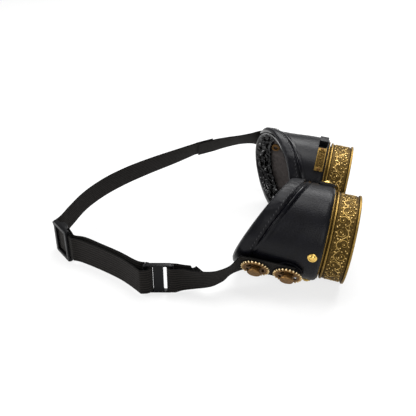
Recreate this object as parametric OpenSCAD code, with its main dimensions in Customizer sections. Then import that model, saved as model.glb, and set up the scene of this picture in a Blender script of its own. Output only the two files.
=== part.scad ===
// Costume goggles with leather eye cups, screw-on brass bezels and an elastic head strap.
// They stand on a table as they are put down: both bezels and the strap slider touch it.
// X points forward, out of the lenses. Y runs from the wearer's right eye to the left. Z is up.

/* [Bezel] */
// Radius of the front flange
flange_r = 31.1; // [30:0.1:33]
// Thickness of the front flange
flange_t = 1.8; // [1.2:0.1:2.4]
// Depth of the whole bezel, front face to rear lip
bezel_depth = 16.6; // [14:0.2:20]
// Radius of the relief band between flange and rear lip
band_r = 30.2; // [29.6:0.1:30.6]
// Radius of the clear opening in front of the lens
opening_r = 25.4; // [23:0.1:26]
// Depth of the straight wall of that opening
opening_depth = 2.3; // [1.6:0.1:3]
// Radius of the threaded neck that the bezel screws onto
neck_r = 28.2; // [27.6:0.1:28.6]
// Radial running clearance of the thread
thread_clear = 0.08; // [0.04:0.01:0.12]

/* [Lens] */
// Radius of the lens disc
lens_r = 27.4; // [26.6:0.1:27.8]
// Thickness of the lens disc
lens_t = 2; // [1.5:0.1:2.6]
// Thickness of the rubber ring behind the lens
gasket_t = 1.4; // [1:0.1:2]
// Inner radius of the rubber ring
gasket_in = 25.2; // [24:0.1:26]

/* [Base ring] */
// Air gap between the screwed-down bezel and the base ring's flange
ring_gap = 1.3; // [0.6:0.1:2]
// Thickness of the base ring's flange
base_t = 1.3; // [0.8:0.1:2]
// Radius of the base ring's flange
base_r = 31.4; // [31:0.1:33]
// Length of the sleeve inside the leather
sleeve_len = 14; // [12:0.5:20]
// Wall of the sleeve
sleeve_t = 2.1; // [1.5:0.1:2.6]
// Radius of the bore through neck and flange
bore_r = 26.5; // [25:0.1:27]

/* [Leather cup] */
// Outer radius of the cup just behind its front edge
cup_r = 33.4; // [33:0.1:35]
// How much the outer radius shrinks towards the face
cup_taper = 2; // [0:0.1:3]
// Thickness of the leather
leather_t = 2.2; // [1.6:0.1:2.4]
// Thickness of the lining
lining_t = 0.9; // [0.5:0.1:1.4]
// Width of the binding folded over the face edge of the right and of the left cup
binding_w = [8.5, 6.5];
// Thickness of the binding
binding_t = 0.9; // [0.6:0.1:1.2]
// Right cup: depth of the face edge, extra depth at the temple, extra depth at the brow
right_edge = [62, 13.5, -4];
// Left cup: depth of the face edge, extra depth at the temple, extra depth at the brow
left_edge = [57.5, 18, -0.8];

/* [Rivets] */
// Radius of a rivet head
rivet_r = 3.2; // [2.4:0.1:4]
// Height of the domed rivet head
rivet_h = 1.6; // [1:0.1:2.2]
// Radius of a rivet's shank
rivet_shank = 1.4; // [1:0.1:1.8]
// Depth of the rivets behind the bezel's front face
rivet_depth = 24.6; // [23:0.1:27]
// Angle of each rivet from the temple line and from the nose line
rivet_spread = 31; // [24:1:40]

/* [Temple] */
// Width of the leather tab's round front end
tab_w = 20; // [18:0.5:22]
// Width of the tab's strip under the elastic
tab_strip = 12; // [8:0.5:16]
// Thickness of the tab
tab_t = 1.2; // [1:0.1:2]
// Depth of the tab's rear end behind the bezel's front face
tab_rear = 66; // [64:0.5:67]
// Depth of the front gear behind the bezel's front face
gear_front = 37.7; // [36:0.1:40.5]
// Gap between the tips of the two gears
gear_gap = 2.2; // [1:0.1:3]
// Tip radius of a gear
gear_r = 10; // [8:0.25:10.5]
// Number of teeth on a gear
gear_teeth = 24; // [16:1:28]
// Thickness of a gear
gear_t = 1.6; // [1.2:0.1:2]
// Number of spokes in a gear
gear_spokes = 5; // [3:1:7]
// Radius of the post that a gear turns on
post_r = 2.4; // [2:0.1:2.8]
// Radial running clearance of a gear on its post
gear_clear = 0.06; // [0.03:0.01:0.1]
// Radius of the button on top of a post
button_r = 4.7; // [4:0.1:5.2]
// Outer radius of the washer inside the cup
washer_r = 3.5; // [3:0.1:4]

/* [Brow clip] */
// First and last angle of the brass plate, from the temple line towards the brow
plate_span = [93, 126];
// Front and rear depth of plate and clip behind the bezel's front face
plate_depth = [19.9, 26.3];
// Thickness of the brass plate
plate_t = 1.2; // [0.8:0.1:1.6]
// Angle between the middle of the black clip and the plate
clip_gap = 13; // [11:0.5:18]
// Inner height of the clip
clip_h = 2.4; // [1.5:0.1:3.5]

/* [Nose bridge] */
// Width of the bridge strip
bridge_w = 11; // [8:0.5:13]
// Thickness of the bridge strip
bridge_t = 1.4; // [1:0.1:1.8]

/* [Head strap] */
// Width of the elastic webbing
web_w = 20; // [16:0.5:21]
// Thickness of the elastic webbing
web_t = 1.1; // [0.8:0.1:1.3]
// Height of the ring that joins the two elastics
ring_h = 23.5; // [23:0.1:26]
// Length of the ring along the strap
ring_l = 21; // [20:0.5:24]
// Thickness of the ring
ring_t = 3.4; // [2.6:0.1:3.6]
// Height of the slider
slider_h = 26.5; // [24.5:0.5:28]
// Length of the slider along the strap
slider_l = 20; // [18:0.5:24]

/* [Pose on the table] */
// How far forward the right and the left bezel's front faces stand
front_spot = [103.2, 94];
// Gap between the two leather cups at the nose
cup_gap = 5; // [4:0.2:8]
// How far the lenses look down
pitch = 6.25; // [0:0.05:8]
// Roll of the right cup, temple side down
right_roll = 27; // [20:1:32]
// Roll of the left cup, temple side up
left_roll = 13; // [8:1:18]

/* [Hidden] */
$fn = 96;

// Puts the origin under the middle of the whole, on the table
centre_shift = [3.36, 4.85, 0];
edge_cut = 0.4;
eye_height = flange_r * cos(pitch) - edge_cut * sin(pitch);
nose_y = 2.1;             // middle of the gap between the cups
right_eye = [front_spot[0], nose_y - cup_gap / 2 - cup_r, eye_height];
left_eye = [front_spot[1], nose_y + cup_gap / 2 + cup_r, eye_height];
seat_gap = 0.2;           // between parts that screw together
fit_gap = 0.05;           // between parts that are clamped together
layer_gap = 0.1;          // between layers of leather and webbing
base_front = bezel_depth + ring_gap;
sleeve_front = base_front + base_t;
cup_front = sleeve_front + layer_gap;
sleeve_r = cup_r - leather_t - 0.65;
lens_front = opening_depth + seat_gap;
gasket_front = lens_front + lens_t;
neck_front = gasket_front + gasket_t + seat_gap;
lip_r = flange_r - 0.3;
groove_r = band_r - 0.5;

tab_seat = cup_r + layer_gap;              // the tab lies on the cup at the temple
web_seat = tab_seat + tab_t + layer_gap;   // the elastic lies on the tab
gear_seat = web_seat + web_t + layer_gap;
collar_t = 0.4;
gear_back = gear_seat + collar_t + 0.15;
button_seat = gear_back + gear_t + 0.15;
neck_h = 1.7;                              // the post's neck between gear and button
button_t = 1.4;
washer_t = 1;
gear_depth = [gear_front, gear_front + 2 * gear_r + gear_gap];
clip_angle = plate_span[0] - clip_gap;
washer_seat = cup_radius(gear_depth[1]) - leather_t - lining_t - washer_t - 0.5;

// Outer radius of the leather at a depth behind the bezel's front face
function cup_radius(s) = lookup(s, [
    [cup_front, cup_r - 1], [cup_front + 0.8, cup_r - 0.3], [cup_front + 2.2, cup_r],
    [cup_front + 16, cup_r - 0.15 * cup_taper], [cup_front + 32, cup_r - 0.55 * cup_taper],
    [cup_front + 70, cup_r - cup_taper]
]);
function wall_stops(from, to) = concat(
    [from],
    [for (s = [cup_front + 0.8, cup_front + 2.2, cup_front + 16, cup_front + 32]) if (s > from && s < to) s],
    [to]
);
function reversed(list) = [for (i = [len(list) - 1:-1:0]) list[i]];

// A point given in a cup's own frame, carried to the table's frame
function turn_z(p, a) = [cos(a) * p.x - sin(a) * p.y, sin(a) * p.x + cos(a) * p.y, p.z];
function turn_y(p, a) = [cos(a) * p.x + sin(a) * p.z, p.y, cos(a) * p.z - sin(a) * p.x];
function right_point(p) = right_eye + turn_y(turn_z([p.x, -p.y, p.z], right_roll - 90), 90 + pitch);
function left_point(p) = left_eye + turn_y(turn_z(p, 90 + left_roll), 90 + pitch);

// A cup's own frame: X to the temple, Y to the brow, Z out of the lens, origin on the bezel's face
module right_place() {
    translate(centre_shift + right_eye) rotate([0, 90 + pitch, 0]) rotate([0, 0, right_roll - 90])
        mirror([0, 1, 0]) children();
}
module left_place() {
    translate(centre_shift + left_eye) rotate([0, 90 + pitch, 0]) rotate([0, 0, 90 + left_roll]) children();
}

// A wall round the cup that follows its outer radius, from one depth to another
module cup_wall(out, into, from, to) {
    stops = wall_stops(from, to);
    rotate_extrude() polygon(concat(
        [for (s = stops) [cup_radius(s) + out, -s]],
        [for (s = reversed(stops)) [cup_radius(s) - into, -s]]
    ));
}

// Everything in front of the slanted face edge, moved back by shift
module before_edge(edge, shift) {
    run = [edge[1], edge[2]] / (cup_r - cup_taper);
    translate([0, 0, -edge[0] - shift]) rotate([0, 0, atan2(run.y, run.x)]) rotate([0, atan(norm(run)), 0])
        translate([-100, -100, 0]) cube([200, 200, 200]);
}

// Places its children on a radius, facing outwards, at an angle and a depth
module round_cup(angle, radius, depth) {
    rotate([0, 0, angle]) translate([radius, 0, -depth]) rotate([0, 90, 0]) children();
}
rivet_angles = [-rivet_spread, rivet_spread, 180 - rivet_spread, 180 + rivet_spread];
module rivet_holes(clear) {
    for (a = rivet_angles) round_cup(a, bore_r - 4, rivet_depth)
        cylinder(r = rivet_shank + clear, h = 16, $fn = 32);
}
module post_holes(clear) {
    for (s = gear_depth) round_cup(0, bore_r - 4, s) cylinder(r = post_r + clear, h = 22, $fn = 48);
}

// Bezel: flange, groove, relief band and rear lip, turned in one piece
module bezel() {
    rotate_extrude() polygon([
        [opening_r, 0], [flange_r - edge_cut, 0], [flange_r, -edge_cut], [flange_r, edge_cut - flange_t],
        [flange_r - edge_cut, -flange_t], [groove_r, -flange_t], [groove_r, -flange_t - 0.9],
        [band_r, -flange_t - 1.3], [band_r, 2.6 - bezel_depth], [groove_r, 2.3 - bezel_depth],
        [groove_r, 1.7 - bezel_depth], [lip_r, 1.4 - bezel_depth], [lip_r, 0.3 - bezel_depth],
        [lip_r - 0.3, -bezel_depth], [neck_r + thread_clear, -bezel_depth],
        [neck_r + thread_clear, -opening_depth], [opening_r, -opening_depth]
    ]);
}
module lens() {
    translate([0, 0, -gasket_front]) cylinder(r = lens_r, h = lens_t);
}
module lens_gasket() {
    translate([0, 0, -gasket_front - gasket_t]) difference() {
        cylinder(r = lens_r, h = gasket_t);
        translate([0, 0, -1]) cylinder(r = gasket_in, h = gasket_t + 2);
    }
}
module base_ring() {
    difference() {
        rotate_extrude() polygon([
            [bore_r, -neck_front], [neck_r, -neck_front], [neck_r, -base_front], [base_r, -base_front],
            [base_r, -sleeve_front], [sleeve_r, -sleeve_front], [sleeve_r, -sleeve_front - sleeve_len],
            [sleeve_r - sleeve_t, -sleeve_front - sleeve_len], [sleeve_r - sleeve_t, -sleeve_front],
            [bore_r, -sleeve_front]
        ]);
        rivet_holes(fit_gap);
    }
}
module cup_leather(edge) {
    difference() {
        intersection() {
            cup_wall(0, leather_t, cup_front, 100);
            before_edge(edge, 0);
        }
        translate([0, 0, -sleeve_front - sleeve_len - layer_gap])
            cylinder(r = sleeve_r + fit_gap, h = sleeve_len + 2);
        rivet_holes(fit_gap);
        post_holes(fit_gap);
    }
}
module cup_lining(edge) {
    difference() {
        intersection() {
            cup_wall(-leather_t - fit_gap, leather_t + fit_gap + lining_t, sleeve_front + sleeve_len + layer_gap, 100);
            before_edge(edge, 0);
        }
        post_holes(fit_gap);
    }
}
module seal_binding(edge, width) {
    inner = leather_t + lining_t + fit_gap;
    difference() {
        intersection() {
            cup_wall(binding_t + fit_gap, inner + fit_gap + binding_t, sleeve_front + sleeve_len, 100);
            before_edge(edge, binding_t + fit_gap);
        }
        before_edge(edge, -width);
        intersection() {
            cup_wall(fit_gap, inner + fit_gap, sleeve_front, 102);
            before_edge(edge, fit_gap);
        }
    }
}
// Rivet with a domed head, a shank and a rolled end inside the sleeve; raised by what lies under it
module rivet(a, raised) {
    dome = (rivet_r * rivet_r + rivet_h * rivet_h) / (2 * rivet_h);
    seat = cup_r + fit_gap + raised;
    round_cup(a, 0, rivet_depth) {
        intersection() {
            translate([0, 0, seat]) cylinder(r = rivet_r, h = rivet_h);
            translate([0, 0, seat + rivet_h - dome]) sphere(r = dome);
        }
        translate([0, 0, sleeve_r - sleeve_t - 1])
            cylinder(r = rivet_shank, h = seat - sleeve_r + sleeve_t + 1.2, $fn = 32);
        translate([0, 0, sleeve_r - sleeve_t - 1.4]) cylinder(r = rivet_shank + 1, h = 1, $fn = 32);
    }
}
module cup_rivets(without) {
    for (a = rivet_angles) if (a != without) rivet(a, 0);
}

// Leather tab: round at the front gear, a strip behind it
module temple_tab() {
    difference() {
        round_cup(0, tab_seat, 0) linear_extrude(tab_t) {
            translate([gear_depth[0], 0]) circle(d = tab_w);
            translate([gear_depth[0], -tab_strip / 2]) square([tab_rear - gear_depth[0], tab_strip]);
        }
        post_holes(fit_gap);
    }
}

// Gear: peg teeth on a ring, spokes and a thicker hub
module gear(depth) {
    ring_in = gear_r - 3.4;
    hub = gear_r * 0.42;
    round_cup(0, gear_back, depth) difference() {
        union() {
            linear_extrude(gear_t) {
                difference() {
                    circle(r = gear_r - 1.2);
                    circle(r = ring_in);
                }
                for (i = [0:gear_teeth - 1]) rotate(i * 360 / gear_teeth)
                    translate([gear_r - 0.85, 0]) circle(r = 0.85, $fn = 24);
            }
            translate([0, 0, 0.2]) linear_extrude(gear_t - 0.4)
                for (i = [0:gear_spokes - 1]) rotate(i * 360 / gear_spokes)
                    translate([0, -0.9]) square([ring_in + 0.3, 1.8]);
            cylinder(r = hub, h = gear_t, $fn = 48);
        }
        translate([0, 0, -1]) cylinder(r = post_r + gear_clear, h = gear_t + 2, $fn = 48);
    }
}
module gear_posts() {
    for (s = gear_depth) round_cup(0, 0, s) difference() {
        union() {
            translate([0, 0, washer_seat - 0.3])
                cylinder(r = post_r, h = button_seat - washer_seat + 0.5, $fn = 48);
            translate([0, 0, gear_seat]) cylinder(r = post_r + 1.2, h = collar_t, $fn = 48);
            translate([0, 0, button_seat]) cylinder(r = post_r + 0.9, h = neck_h, $fn = 48);
            translate([0, 0, button_seat + neck_h]) rotate_extrude($fn = 64) polygon([
                [0, 0], [button_r - 0.3, 0], [button_r, 0.3], [button_r, button_t - 0.5],
                [button_r - 0.5, button_t], [0, button_t]
            ]);
        }
        translate([0, 0, washer_seat - 1]) cylinder(r = post_r - 1.1, h = 4, $fn = 32);
    }
}
module post_washers() {
    for (s = gear_depth) round_cup(0, washer_seat, s) difference() {
        cylinder(r = washer_r, h = washer_t, $fn = 48);
        translate([0, 0, -1]) cylinder(r = post_r + fit_gap, h = washer_t + 2, $fn = 48);
    }
}

// Brass plate on the left brow: a curved frame round a sunken panel
plate_r = cup_r + 0.5;
module ring_sector(r_in, r_out, front, rear, a0, a1) {
    rotate([0, 0, a0]) rotate_extrude(angle = a1 - a0) translate([r_in, -rear]) square([r_out - r_in, rear - front]);
}
pin_angles = [plate_span[0] + 2.4, plate_span[1] - 2.4];
pin_r = 0.8;
module brow_plate() {
    mid = (plate_depth[0] + plate_depth[1]) / 2;
    difference() {
        ring_sector(plate_r, plate_r + plate_t, plate_depth[0], plate_depth[1], plate_span[0], plate_span[1]);
        ring_sector(plate_r + plate_t - 0.4, plate_r + plate_t + 1, plate_depth[0] + 1, plate_depth[1] - 1,
            plate_span[0] + 4.8, plate_span[1] - 4.8);
        for (a = pin_angles) round_cup(a, plate_r - 1, mid) cylinder(r = pin_r + fit_gap, h = 4, $fn = 32);
    }
    for (a = [plate_span[0] + 9:5:plate_span[1] - 8]) round_cup(a, plate_r + plate_t - 0.5, mid)
        cylinder(r = 1.1, h = 0.6, $fn = 24);
}
module brow_plate_pins() {
    mid = (plate_depth[0] + plate_depth[1]) / 2;
    for (a = pin_angles) round_cup(a, 0, mid) {
        translate([0, 0, cup_r + fit_gap]) cylinder(r = pin_r, h = plate_t + 0.6, $fn = 32);
        translate([0, 0, plate_r + plate_t + fit_gap]) cylinder(r = pin_r + 0.6, h = 0.7, $fn = 32);
    }
}

// Black clip beside the plate: a folded keeper that is open front to rear
module brow_clip() {
    width = 7;
    wall = 0.9;
    round_cup(clip_angle, cup_r + fit_gap, 0) translate([plate_depth[0], -width / 2, 0])
        difference() {
            cube([plate_depth[1] - plate_depth[0], width, clip_h + 2 * wall]);
            translate([-1, wall, wall]) cube([plate_depth[1] - plate_depth[0] + 2, width - 2 * wall, clip_h]);
        }
}

// Ribbons: a route of points and, for each point, the direction of the ribbon's width
function unit(v) = v / norm(v);
function spline(a, b, c, d, t) = 0.5 * (2 * b + t * (c - a) + t * t * (2 * a - 5 * b + 4 * c - d)
    + t * t * t * (3 * b - a - 3 * c + d));
function smooth(p, n) = concat(
    [for (i = [0:len(p) - 2], k = [0:n - 1])
        spline(p[max(i - 1, 0)], p[i], p[i + 1], p[min(i + 2, len(p) - 1)], k / n)],
    [p[len(p) - 1]]
);
function place(p) = [p[0], p[1], p[2]];
function heading(p, i) = unit(place(p[min(i + 1, len(p) - 1)]) - place(p[max(i - 1, 0)]));
// Width of a strap: upright, tipped outwards by the lean that is the route's fourth number
function upright(p) = [for (i = [0:len(p) - 1]) let (
        run = heading(p, i),
        side = unit(cross(run, [0, 0, 1])),
        rise = cross(side, run)
    ) cos(p[i][3]) * rise + sin(p[i][3]) * side];
// Width of a strip: as near to one direction as the route allows
function along(p, dir) = [for (i = [0:len(p) - 1]) let (run = heading(p, i)) unit(dir - (dir * run) * run)];
module ribbon(p, wide, w, t) {
    last = len(p) - 1;
    translate(centre_shift) polyhedron(
        points = [for (i = [0:last]) let (out = cross(heading(p, i), wide[i]))
            for (c = [[-1, -1], [1, -1], [1, 1], [-1, 1]])
                place(p[i]) + c[0] * w / 2 * wide[i] + c[1] * t / 2 * out],
        faces = concat(
            [[0, 1, 2], [0, 2, 3]],
            [for (i = [0:last - 1], k = [0:3]) each [
                [4 * i + k, 4 * i + 4 + k, 4 * i + (k + 1) % 4],
                [4 * i + (k + 1) % 4, 4 * i + 4 + k, 4 * i + 4 + (k + 1) % 4]
            ]],
            [[4 * last, 4 * last + 2, 4 * last + 1], [4 * last, 4 * last + 3, 4 * last + 2]]
        )
    );
}
module strap(p) { ribbon(p, upright(p), web_w, web_t); }
module cup_strap(p) {
    difference() {
        strap(p);
        children();
    }
}
// A turn round an upright bar, from angle a0 to a1
function turn(centre, r, a0, a1, z, n) = [for (k = [0:n]) let (a = a0 + (a1 - a0) * k / n)
    [centre.x + r * cos(a), centre.y + r * sin(a), z, 0]];
function flat_dir(a) = [cos(a), sin(a)];

// Ring that joins the elastics: three upright bars between two rails
ring_centre = [-21.7, -81.9, ring_h / 2 + 0.3];
ring_angle = 13;
ring_rail = (ring_h - web_w - 1) / 2;
ring_bar = 2.6;
ring_middle_bar = 5.4;
ring_reach = ring_l / 2 - ring_bar / 2;
ring_right_bar = [ring_centre.x, ring_centre.y] + ring_reach * flat_dir(ring_angle);
ring_left_bar = [ring_centre.x, ring_centre.y] - ring_reach * flat_dir(ring_angle);
module strap_ring() {
    slot = (ring_l - 2 * ring_bar - ring_middle_bar) / 2;
    window_h = ring_h - 2 * ring_rail;
    corner = 3;
    translate(centre_shift + ring_centre) rotate([0, 0, ring_angle]) {
        rotate([90, 0, 0]) translate([0, 0, -ring_t / 2]) linear_extrude(ring_t) difference() {
            union() {
                square([ring_l, ring_h - 2 * corner], center = true);
                square([ring_l - 2 * corner, ring_h], center = true);
                for (x = [-1, 1], y = [-1, 1]) translate([x * (ring_l / 2 - corner), y * (ring_h / 2 - corner)])
                    circle(r = corner, $fn = 32);
            }
            for (x = [-1, 1]) translate([x * (ring_middle_bar + slot + ring_bar) / 2, 0])
                square([slot + ring_bar + 0.01, window_h], center = true);
            for (x = [-1, 1]) translate([x * ring_l / 2, 0]) square([ring_bar, window_h], center = true);
        }
        for (x = [-1, 1]) translate([x * ring_reach, 0, -window_h / 2 - 0.5])
            cylinder(d = ring_bar, h = window_h + 1, $fn = 32);
    }
}

// Slider: end bars outside the webbing, the middle bar inside it, joined by rails
slider_centre = [-102, -57.5, slider_h / 2];
slider_angle = -40;
bar_gap = 0.3;
slider_rail = (slider_h - web_w - 1) / 2;
end_bar = 3.2;
end_bar_t = 1.6;
middle_bar = 3.6;
middle_bar_t = 1.5;
middle_bar_seat = -web_t / 2 - bar_gap - web_t - bar_gap;   // outer face of the middle bar
module strap_slider() {
    top = web_t / 2 + bar_gap + end_bar_t;
    translate(centre_shift + slider_centre) rotate([0, 0, slider_angle]) {
        for (z = [-1, 1]) translate([0, 0, z * (slider_h - slider_rail) / 2]) slider_side(top);
        for (x = [-1, 1]) translate([x * (slider_l - end_bar) / 2 - end_bar / 2, -top, -slider_h / 2 + 1])
            cube([end_bar, end_bar_t, slider_h - 2]);
        translate([-middle_bar / 2, -middle_bar_seat, -slider_h / 2 + 1])
            cube([middle_bar, middle_bar_t, slider_h - 2]);
    }
}
// One rail of the slider: thin at its ends, with a foot that carries the middle bar
module slider_side(top) {
    low = middle_bar_seat - middle_bar_t;
    inside = web_t / 2 + bar_gap + 0.1;
    foot = middle_bar / 2 + 0.6;
    foot_slope = 2.2;
    translate([0, 0, -slider_rail / 2]) linear_extrude(slider_rail) polygon([
        [-slider_l / 2, -top], [slider_l / 2, -top], [slider_l / 2, inside], [foot + foot_slope, inside],
        [foot, -low], [-foot, -low], [-foot - foot_slope, inside], [-slider_l / 2, inside]
    ]);
}

// Routes of the webbing, along the middle of its thickness
web_mid = web_seat + web_t / 2;
web_front = gear_depth[0] - 4;
web_bend = gear_depth[1] + 2;              // the webbing lies flat up to here
loop_r = ring_t / 2 + 1 + web_t / 2;
right_outer = ring_right_bar - loop_r * [-sin(ring_angle), cos(ring_angle)];
right_inner = ring_right_bar + loop_r * [-sin(ring_angle), cos(ring_angle)];
ring_z = ring_centre.z;
right_route = concat(
    [for (d = [web_front, gear_depth[1]]) concat(right_point([web_mid, 0, -d]), -right_roll)],
    smooth([
        concat(right_point([web_mid, 0, -web_bend]), -right_roll),
        concat(right_point([web_mid, -0.4, -web_bend - 3]), -right_roll),
        concat(right_point([web_mid, -1.6, -web_bend - 7]), -right_roll),
        [27.8, -67.1, 18.9, -27], [23, -72.2, 16.7, -26], [18.8, -75.2, 15.2, -24], [14.8, -77.2, 14.3, -22],
        [9.6, -78.4, 13.5, -19], [2.1, -79.3, 12.7, -14], [-5, -80.2, 12.2, -6],
        [right_outer.x + 2, right_outer.y + 0.4, ring_z, 0]
    ], 4),
    turn(ring_right_bar, loop_r, ring_angle - 90, ring_angle - 270, ring_z, 8),
    smooth([
        [right_inner.x + 3, right_inner.y + 0.4, ring_z, 0], [-5, -76.2, 12.6, 2], [0, -74.8, 13.6, 8],
        [5, -71.4, 15.2, 14]
    ], 3)
);
// Where the long elastic is sewn to the left one: the middle of the left one, and its two directions
seam = [-22, 56.4, 41.4, -33];
seam_run = unit([-11, -6.5, -1.6]);
seam_side = unit(cross(seam_run, [0, 0, 1]));
seam_wide = cos(seam[3]) * cross(seam_side, seam_run) + sin(seam[3]) * seam_side;
seam_out = cross(seam_run, seam_wide) * (web_t + layer_gap);
seam_half = 6;
function on_seam(u) = concat(place(seam) + u * seam_run, seam[3]);
function over_seam(u) = concat(place(seam) + u * seam_run + seam_out, seam[3]);
left_route = concat(
    [for (d = [web_front, gear_depth[1]]) concat(left_point([web_mid, 0, -d]), -left_roll)],
    smooth([
        concat(left_point([web_mid, 0, -web_bend]), -left_roll),
        concat(left_point([web_mid, 0, -web_bend - 4]), -left_roll),
        concat(left_point([web_mid + 0.1, 0, -web_bend - 8]), -left_roll - 4),
        [20.3, 73, 46.4, -26], [14, 72.4, 46.2, -38], [4, 69.6, 45, -42], [-6, 65.6, 43.6, -38],
        on_seam(-seam_half - 2)
    ], 4),
    [on_seam(-seam_half - 1), on_seam(seam_half - 0.4), on_seam(seam_half)]
);
slider_run = flat_dir(slider_angle);
slider_in = flat_dir(slider_angle + 90);
slider_z = slider_centre.z - 0.2;
straight = slider_l / 2 + 2.8;             // webbing that the slider can shift on
// A point u along the slider and v inwards from its webbing
function at_slider(u, v) = let (p = [slider_centre.x, slider_centre.y] + u * slider_run + v * slider_in)
    [p.x, p.y, slider_z, 0];
bar_mid = -middle_bar_seat + middle_bar_t / 2;
bar_turn = middle_bar_t / 2 + bar_gap + web_t / 2;
loop_out = ring_t / 2 + 2.4 + web_t / 2;
long_route = concat(
    [for (u = [-seam_half, 0.4 - seam_half, seam_half + 1]) over_seam(u)],
    smooth([
        over_seam(seam_half + 2), [-44, 42.5, 37.6, -27], [-62, 28.5, 34, -22],
        [-78, 14, 30.6, -18], [-91, -1, 27, -15], [-101, -17, 22.6, -12], [-107.4, -32, 17, -7],
        [-110, -42.5, 14.4, -3], at_slider(-straight - 1, 0.15)
    ], 4),
    [at_slider(-straight, 0), at_slider(straight, 0)],
    smooth([
        at_slider(straight + 1, 0.2), [-84.5, -66.6, 12.6, 0], [-68.7, -71.2, 12.2, 0],
        [-52.5, -77.4, 12, 0], [-42, -83.2, ring_z, 0],
        [ring_left_bar.x - 3 + loop_out * sin(ring_angle), ring_left_bar.y - loop_out - 0.8, ring_z, 0]
    ], 4),
    turn(ring_left_bar, loop_out, ring_angle - 90, ring_angle + 90, ring_z, 12)
);
return_start = ring_left_bar + [-loop_out * sin(ring_angle), loop_out * cos(ring_angle)]
    - 0.35 * flat_dir(ring_angle);
return_route = concat(
    smooth([
        [return_start.x, return_start.y, ring_z, 0], [-39.5, -76.6, 12, 0], [-52.5, -72.6, 12.2, 0],
        [-68.7, -66.8, 12.4, 0], [-82, -62.6, 12.8, 0], at_slider(12, 3.6), at_slider(7, 3.9),
        at_slider(1, bar_mid + bar_turn)
    ], 4),
    [for (a = [90:20:270]) at_slider(-middle_bar / 2 + bar_turn * cos(a), bar_mid + bar_turn * sin(a))],
    [at_slider(3, bar_mid - bar_turn), at_slider(11, bar_mid - bar_turn)]
);

// Bridge strip: from the brow side of the right cup, down between the cups, to under the left one
bridge_r = cup_r + layer_gap + bridge_t / 2;
bridge_ends = [180 - rivet_spread, 180 + rivet_spread];    // its rivets on the right and the left cup
bridge_tail = 9;                                           // degrees of strip beyond each rivet
eye_step = right_eye - left_eye;
free_angle = acos(2 * bridge_r / abs(eye_step.y));
right_leave = 180 + right_roll - free_angle;
left_meet = 180 - left_roll + free_angle;
function arc_len(a) = a * PI / 180 * bridge_r;
free_len = abs(eye_step.y) * sin(free_angle);
bridge_len = arc_len(right_leave - bridge_ends[0]) + free_len + arc_len(bridge_ends[1] - left_meet);
bridge_slant = norm([eye_step.x, eye_step.z]) / bridge_len;
function right_bridge(a) = right_point([bridge_r * cos(a), bridge_r * sin(a),
    -rivet_depth - bridge_slant * arc_len(a - bridge_ends[0])]);
function left_bridge(a) = left_point([bridge_r * cos(a), bridge_r * sin(a),
    -rivet_depth + bridge_slant * arc_len(bridge_ends[1] - a)]);
bridge_steps = 9;
bridge_route = concat(
    [for (k = [0:bridge_steps]) right_bridge(bridge_ends[0] - bridge_tail
        + (right_leave - bridge_ends[0] + bridge_tail) * k / bridge_steps)],
    [for (k = [0:bridge_steps]) left_bridge(left_meet
        + (bridge_ends[1] + bridge_tail - left_meet) * k / bridge_steps)]
);
module bridge_strip() {
    difference() {
        ribbon(bridge_route, along(bridge_route, [cos(pitch), 0, -sin(pitch)]), bridge_w, bridge_t);
        right_place() bridge_hole(bridge_ends[0]);
        left_place() bridge_hole(bridge_ends[1]);
    }
}
module bridge_hole(a) {
    round_cup(a, cup_r - 2, rivet_depth) cylinder(r = rivet_shank + fit_gap, h = bridge_t + 5, $fn = 32);
}
module bridge_rivets() {
    right_place() rivet(bridge_ends[0], bridge_t + layer_gap);
    left_place() rivet(bridge_ends[1], bridge_t + layer_gap);
}

color("darkgoldenrod") right_place() bezel();  // right_bezel
color("dimgray", 0.5) right_place() lens();  // right_lens
color("black") right_place() lens_gasket();  // right_lens_gasket
color("goldenrod") right_place() base_ring();  // right_base_ring
color("#26262a") right_place() cup_leather(right_edge);  // right_cup_leather
color("#1c1c1c") right_place() cup_lining(right_edge);  // right_cup_lining
color("#303036") right_place() seal_binding(right_edge, binding_w[0]);  // right_seal_binding
color("gold") right_place() cup_rivets(bridge_ends[0]);  // right_cup_rivets
color("#303036") right_place() temple_tab();  // right_temple_tab
color("peru") right_place() gear(gear_depth[0]);  // right_gear_front
color("peru") right_place() gear(gear_depth[1]);  // right_gear_rear
color("goldenrod") right_place() gear_posts();  // right_gear_posts
color("goldenrod") right_place() post_washers();  // right_post_washers
color("darkgoldenrod") left_place() bezel();  // left_bezel
color("dimgray", 0.5) left_place() lens();  // left_lens
color("black") left_place() lens_gasket();  // left_lens_gasket
color("goldenrod") left_place() base_ring();  // left_base_ring
color("#26262a") left_place() cup_leather(left_edge);  // left_cup_leather
color("#1c1c1c") left_place() cup_lining(left_edge);  // left_cup_lining
color("#303036") left_place() seal_binding(left_edge, binding_w[1]);  // left_seal_binding
color("gold") left_place() cup_rivets(bridge_ends[1]);  // left_cup_rivets
color("#303036") left_place() temple_tab();  // left_temple_tab
color("peru") left_place() gear(gear_depth[0]);  // left_gear_front
color("peru") left_place() gear(gear_depth[1]);  // left_gear_rear
color("goldenrod") left_place() gear_posts();  // left_gear_posts
color("goldenrod") left_place() post_washers();  // left_post_washers
color("darkgoldenrod") left_place() brow_plate();
color("gold") left_place() brow_plate_pins();
color("#161616") left_place() brow_clip();
color("#26262a") bridge_strip();
color("gold") bridge_rivets();
color("#202020") cup_strap(right_route) right_place() post_holes(fit_gap);  // right_elastic
color("#202020") cup_strap(left_route) left_place() post_holes(fit_gap);  // left_elastic
color("#262626") strap(long_route);  // long_elastic
color("#262626") strap(return_route);  // long_elastic_return
color("#3a3a3c") strap_slider();
color("#2e2e30") strap_ring();
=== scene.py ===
import bpy
import math
from mathutils import Matrix, Vector, noise


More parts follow.
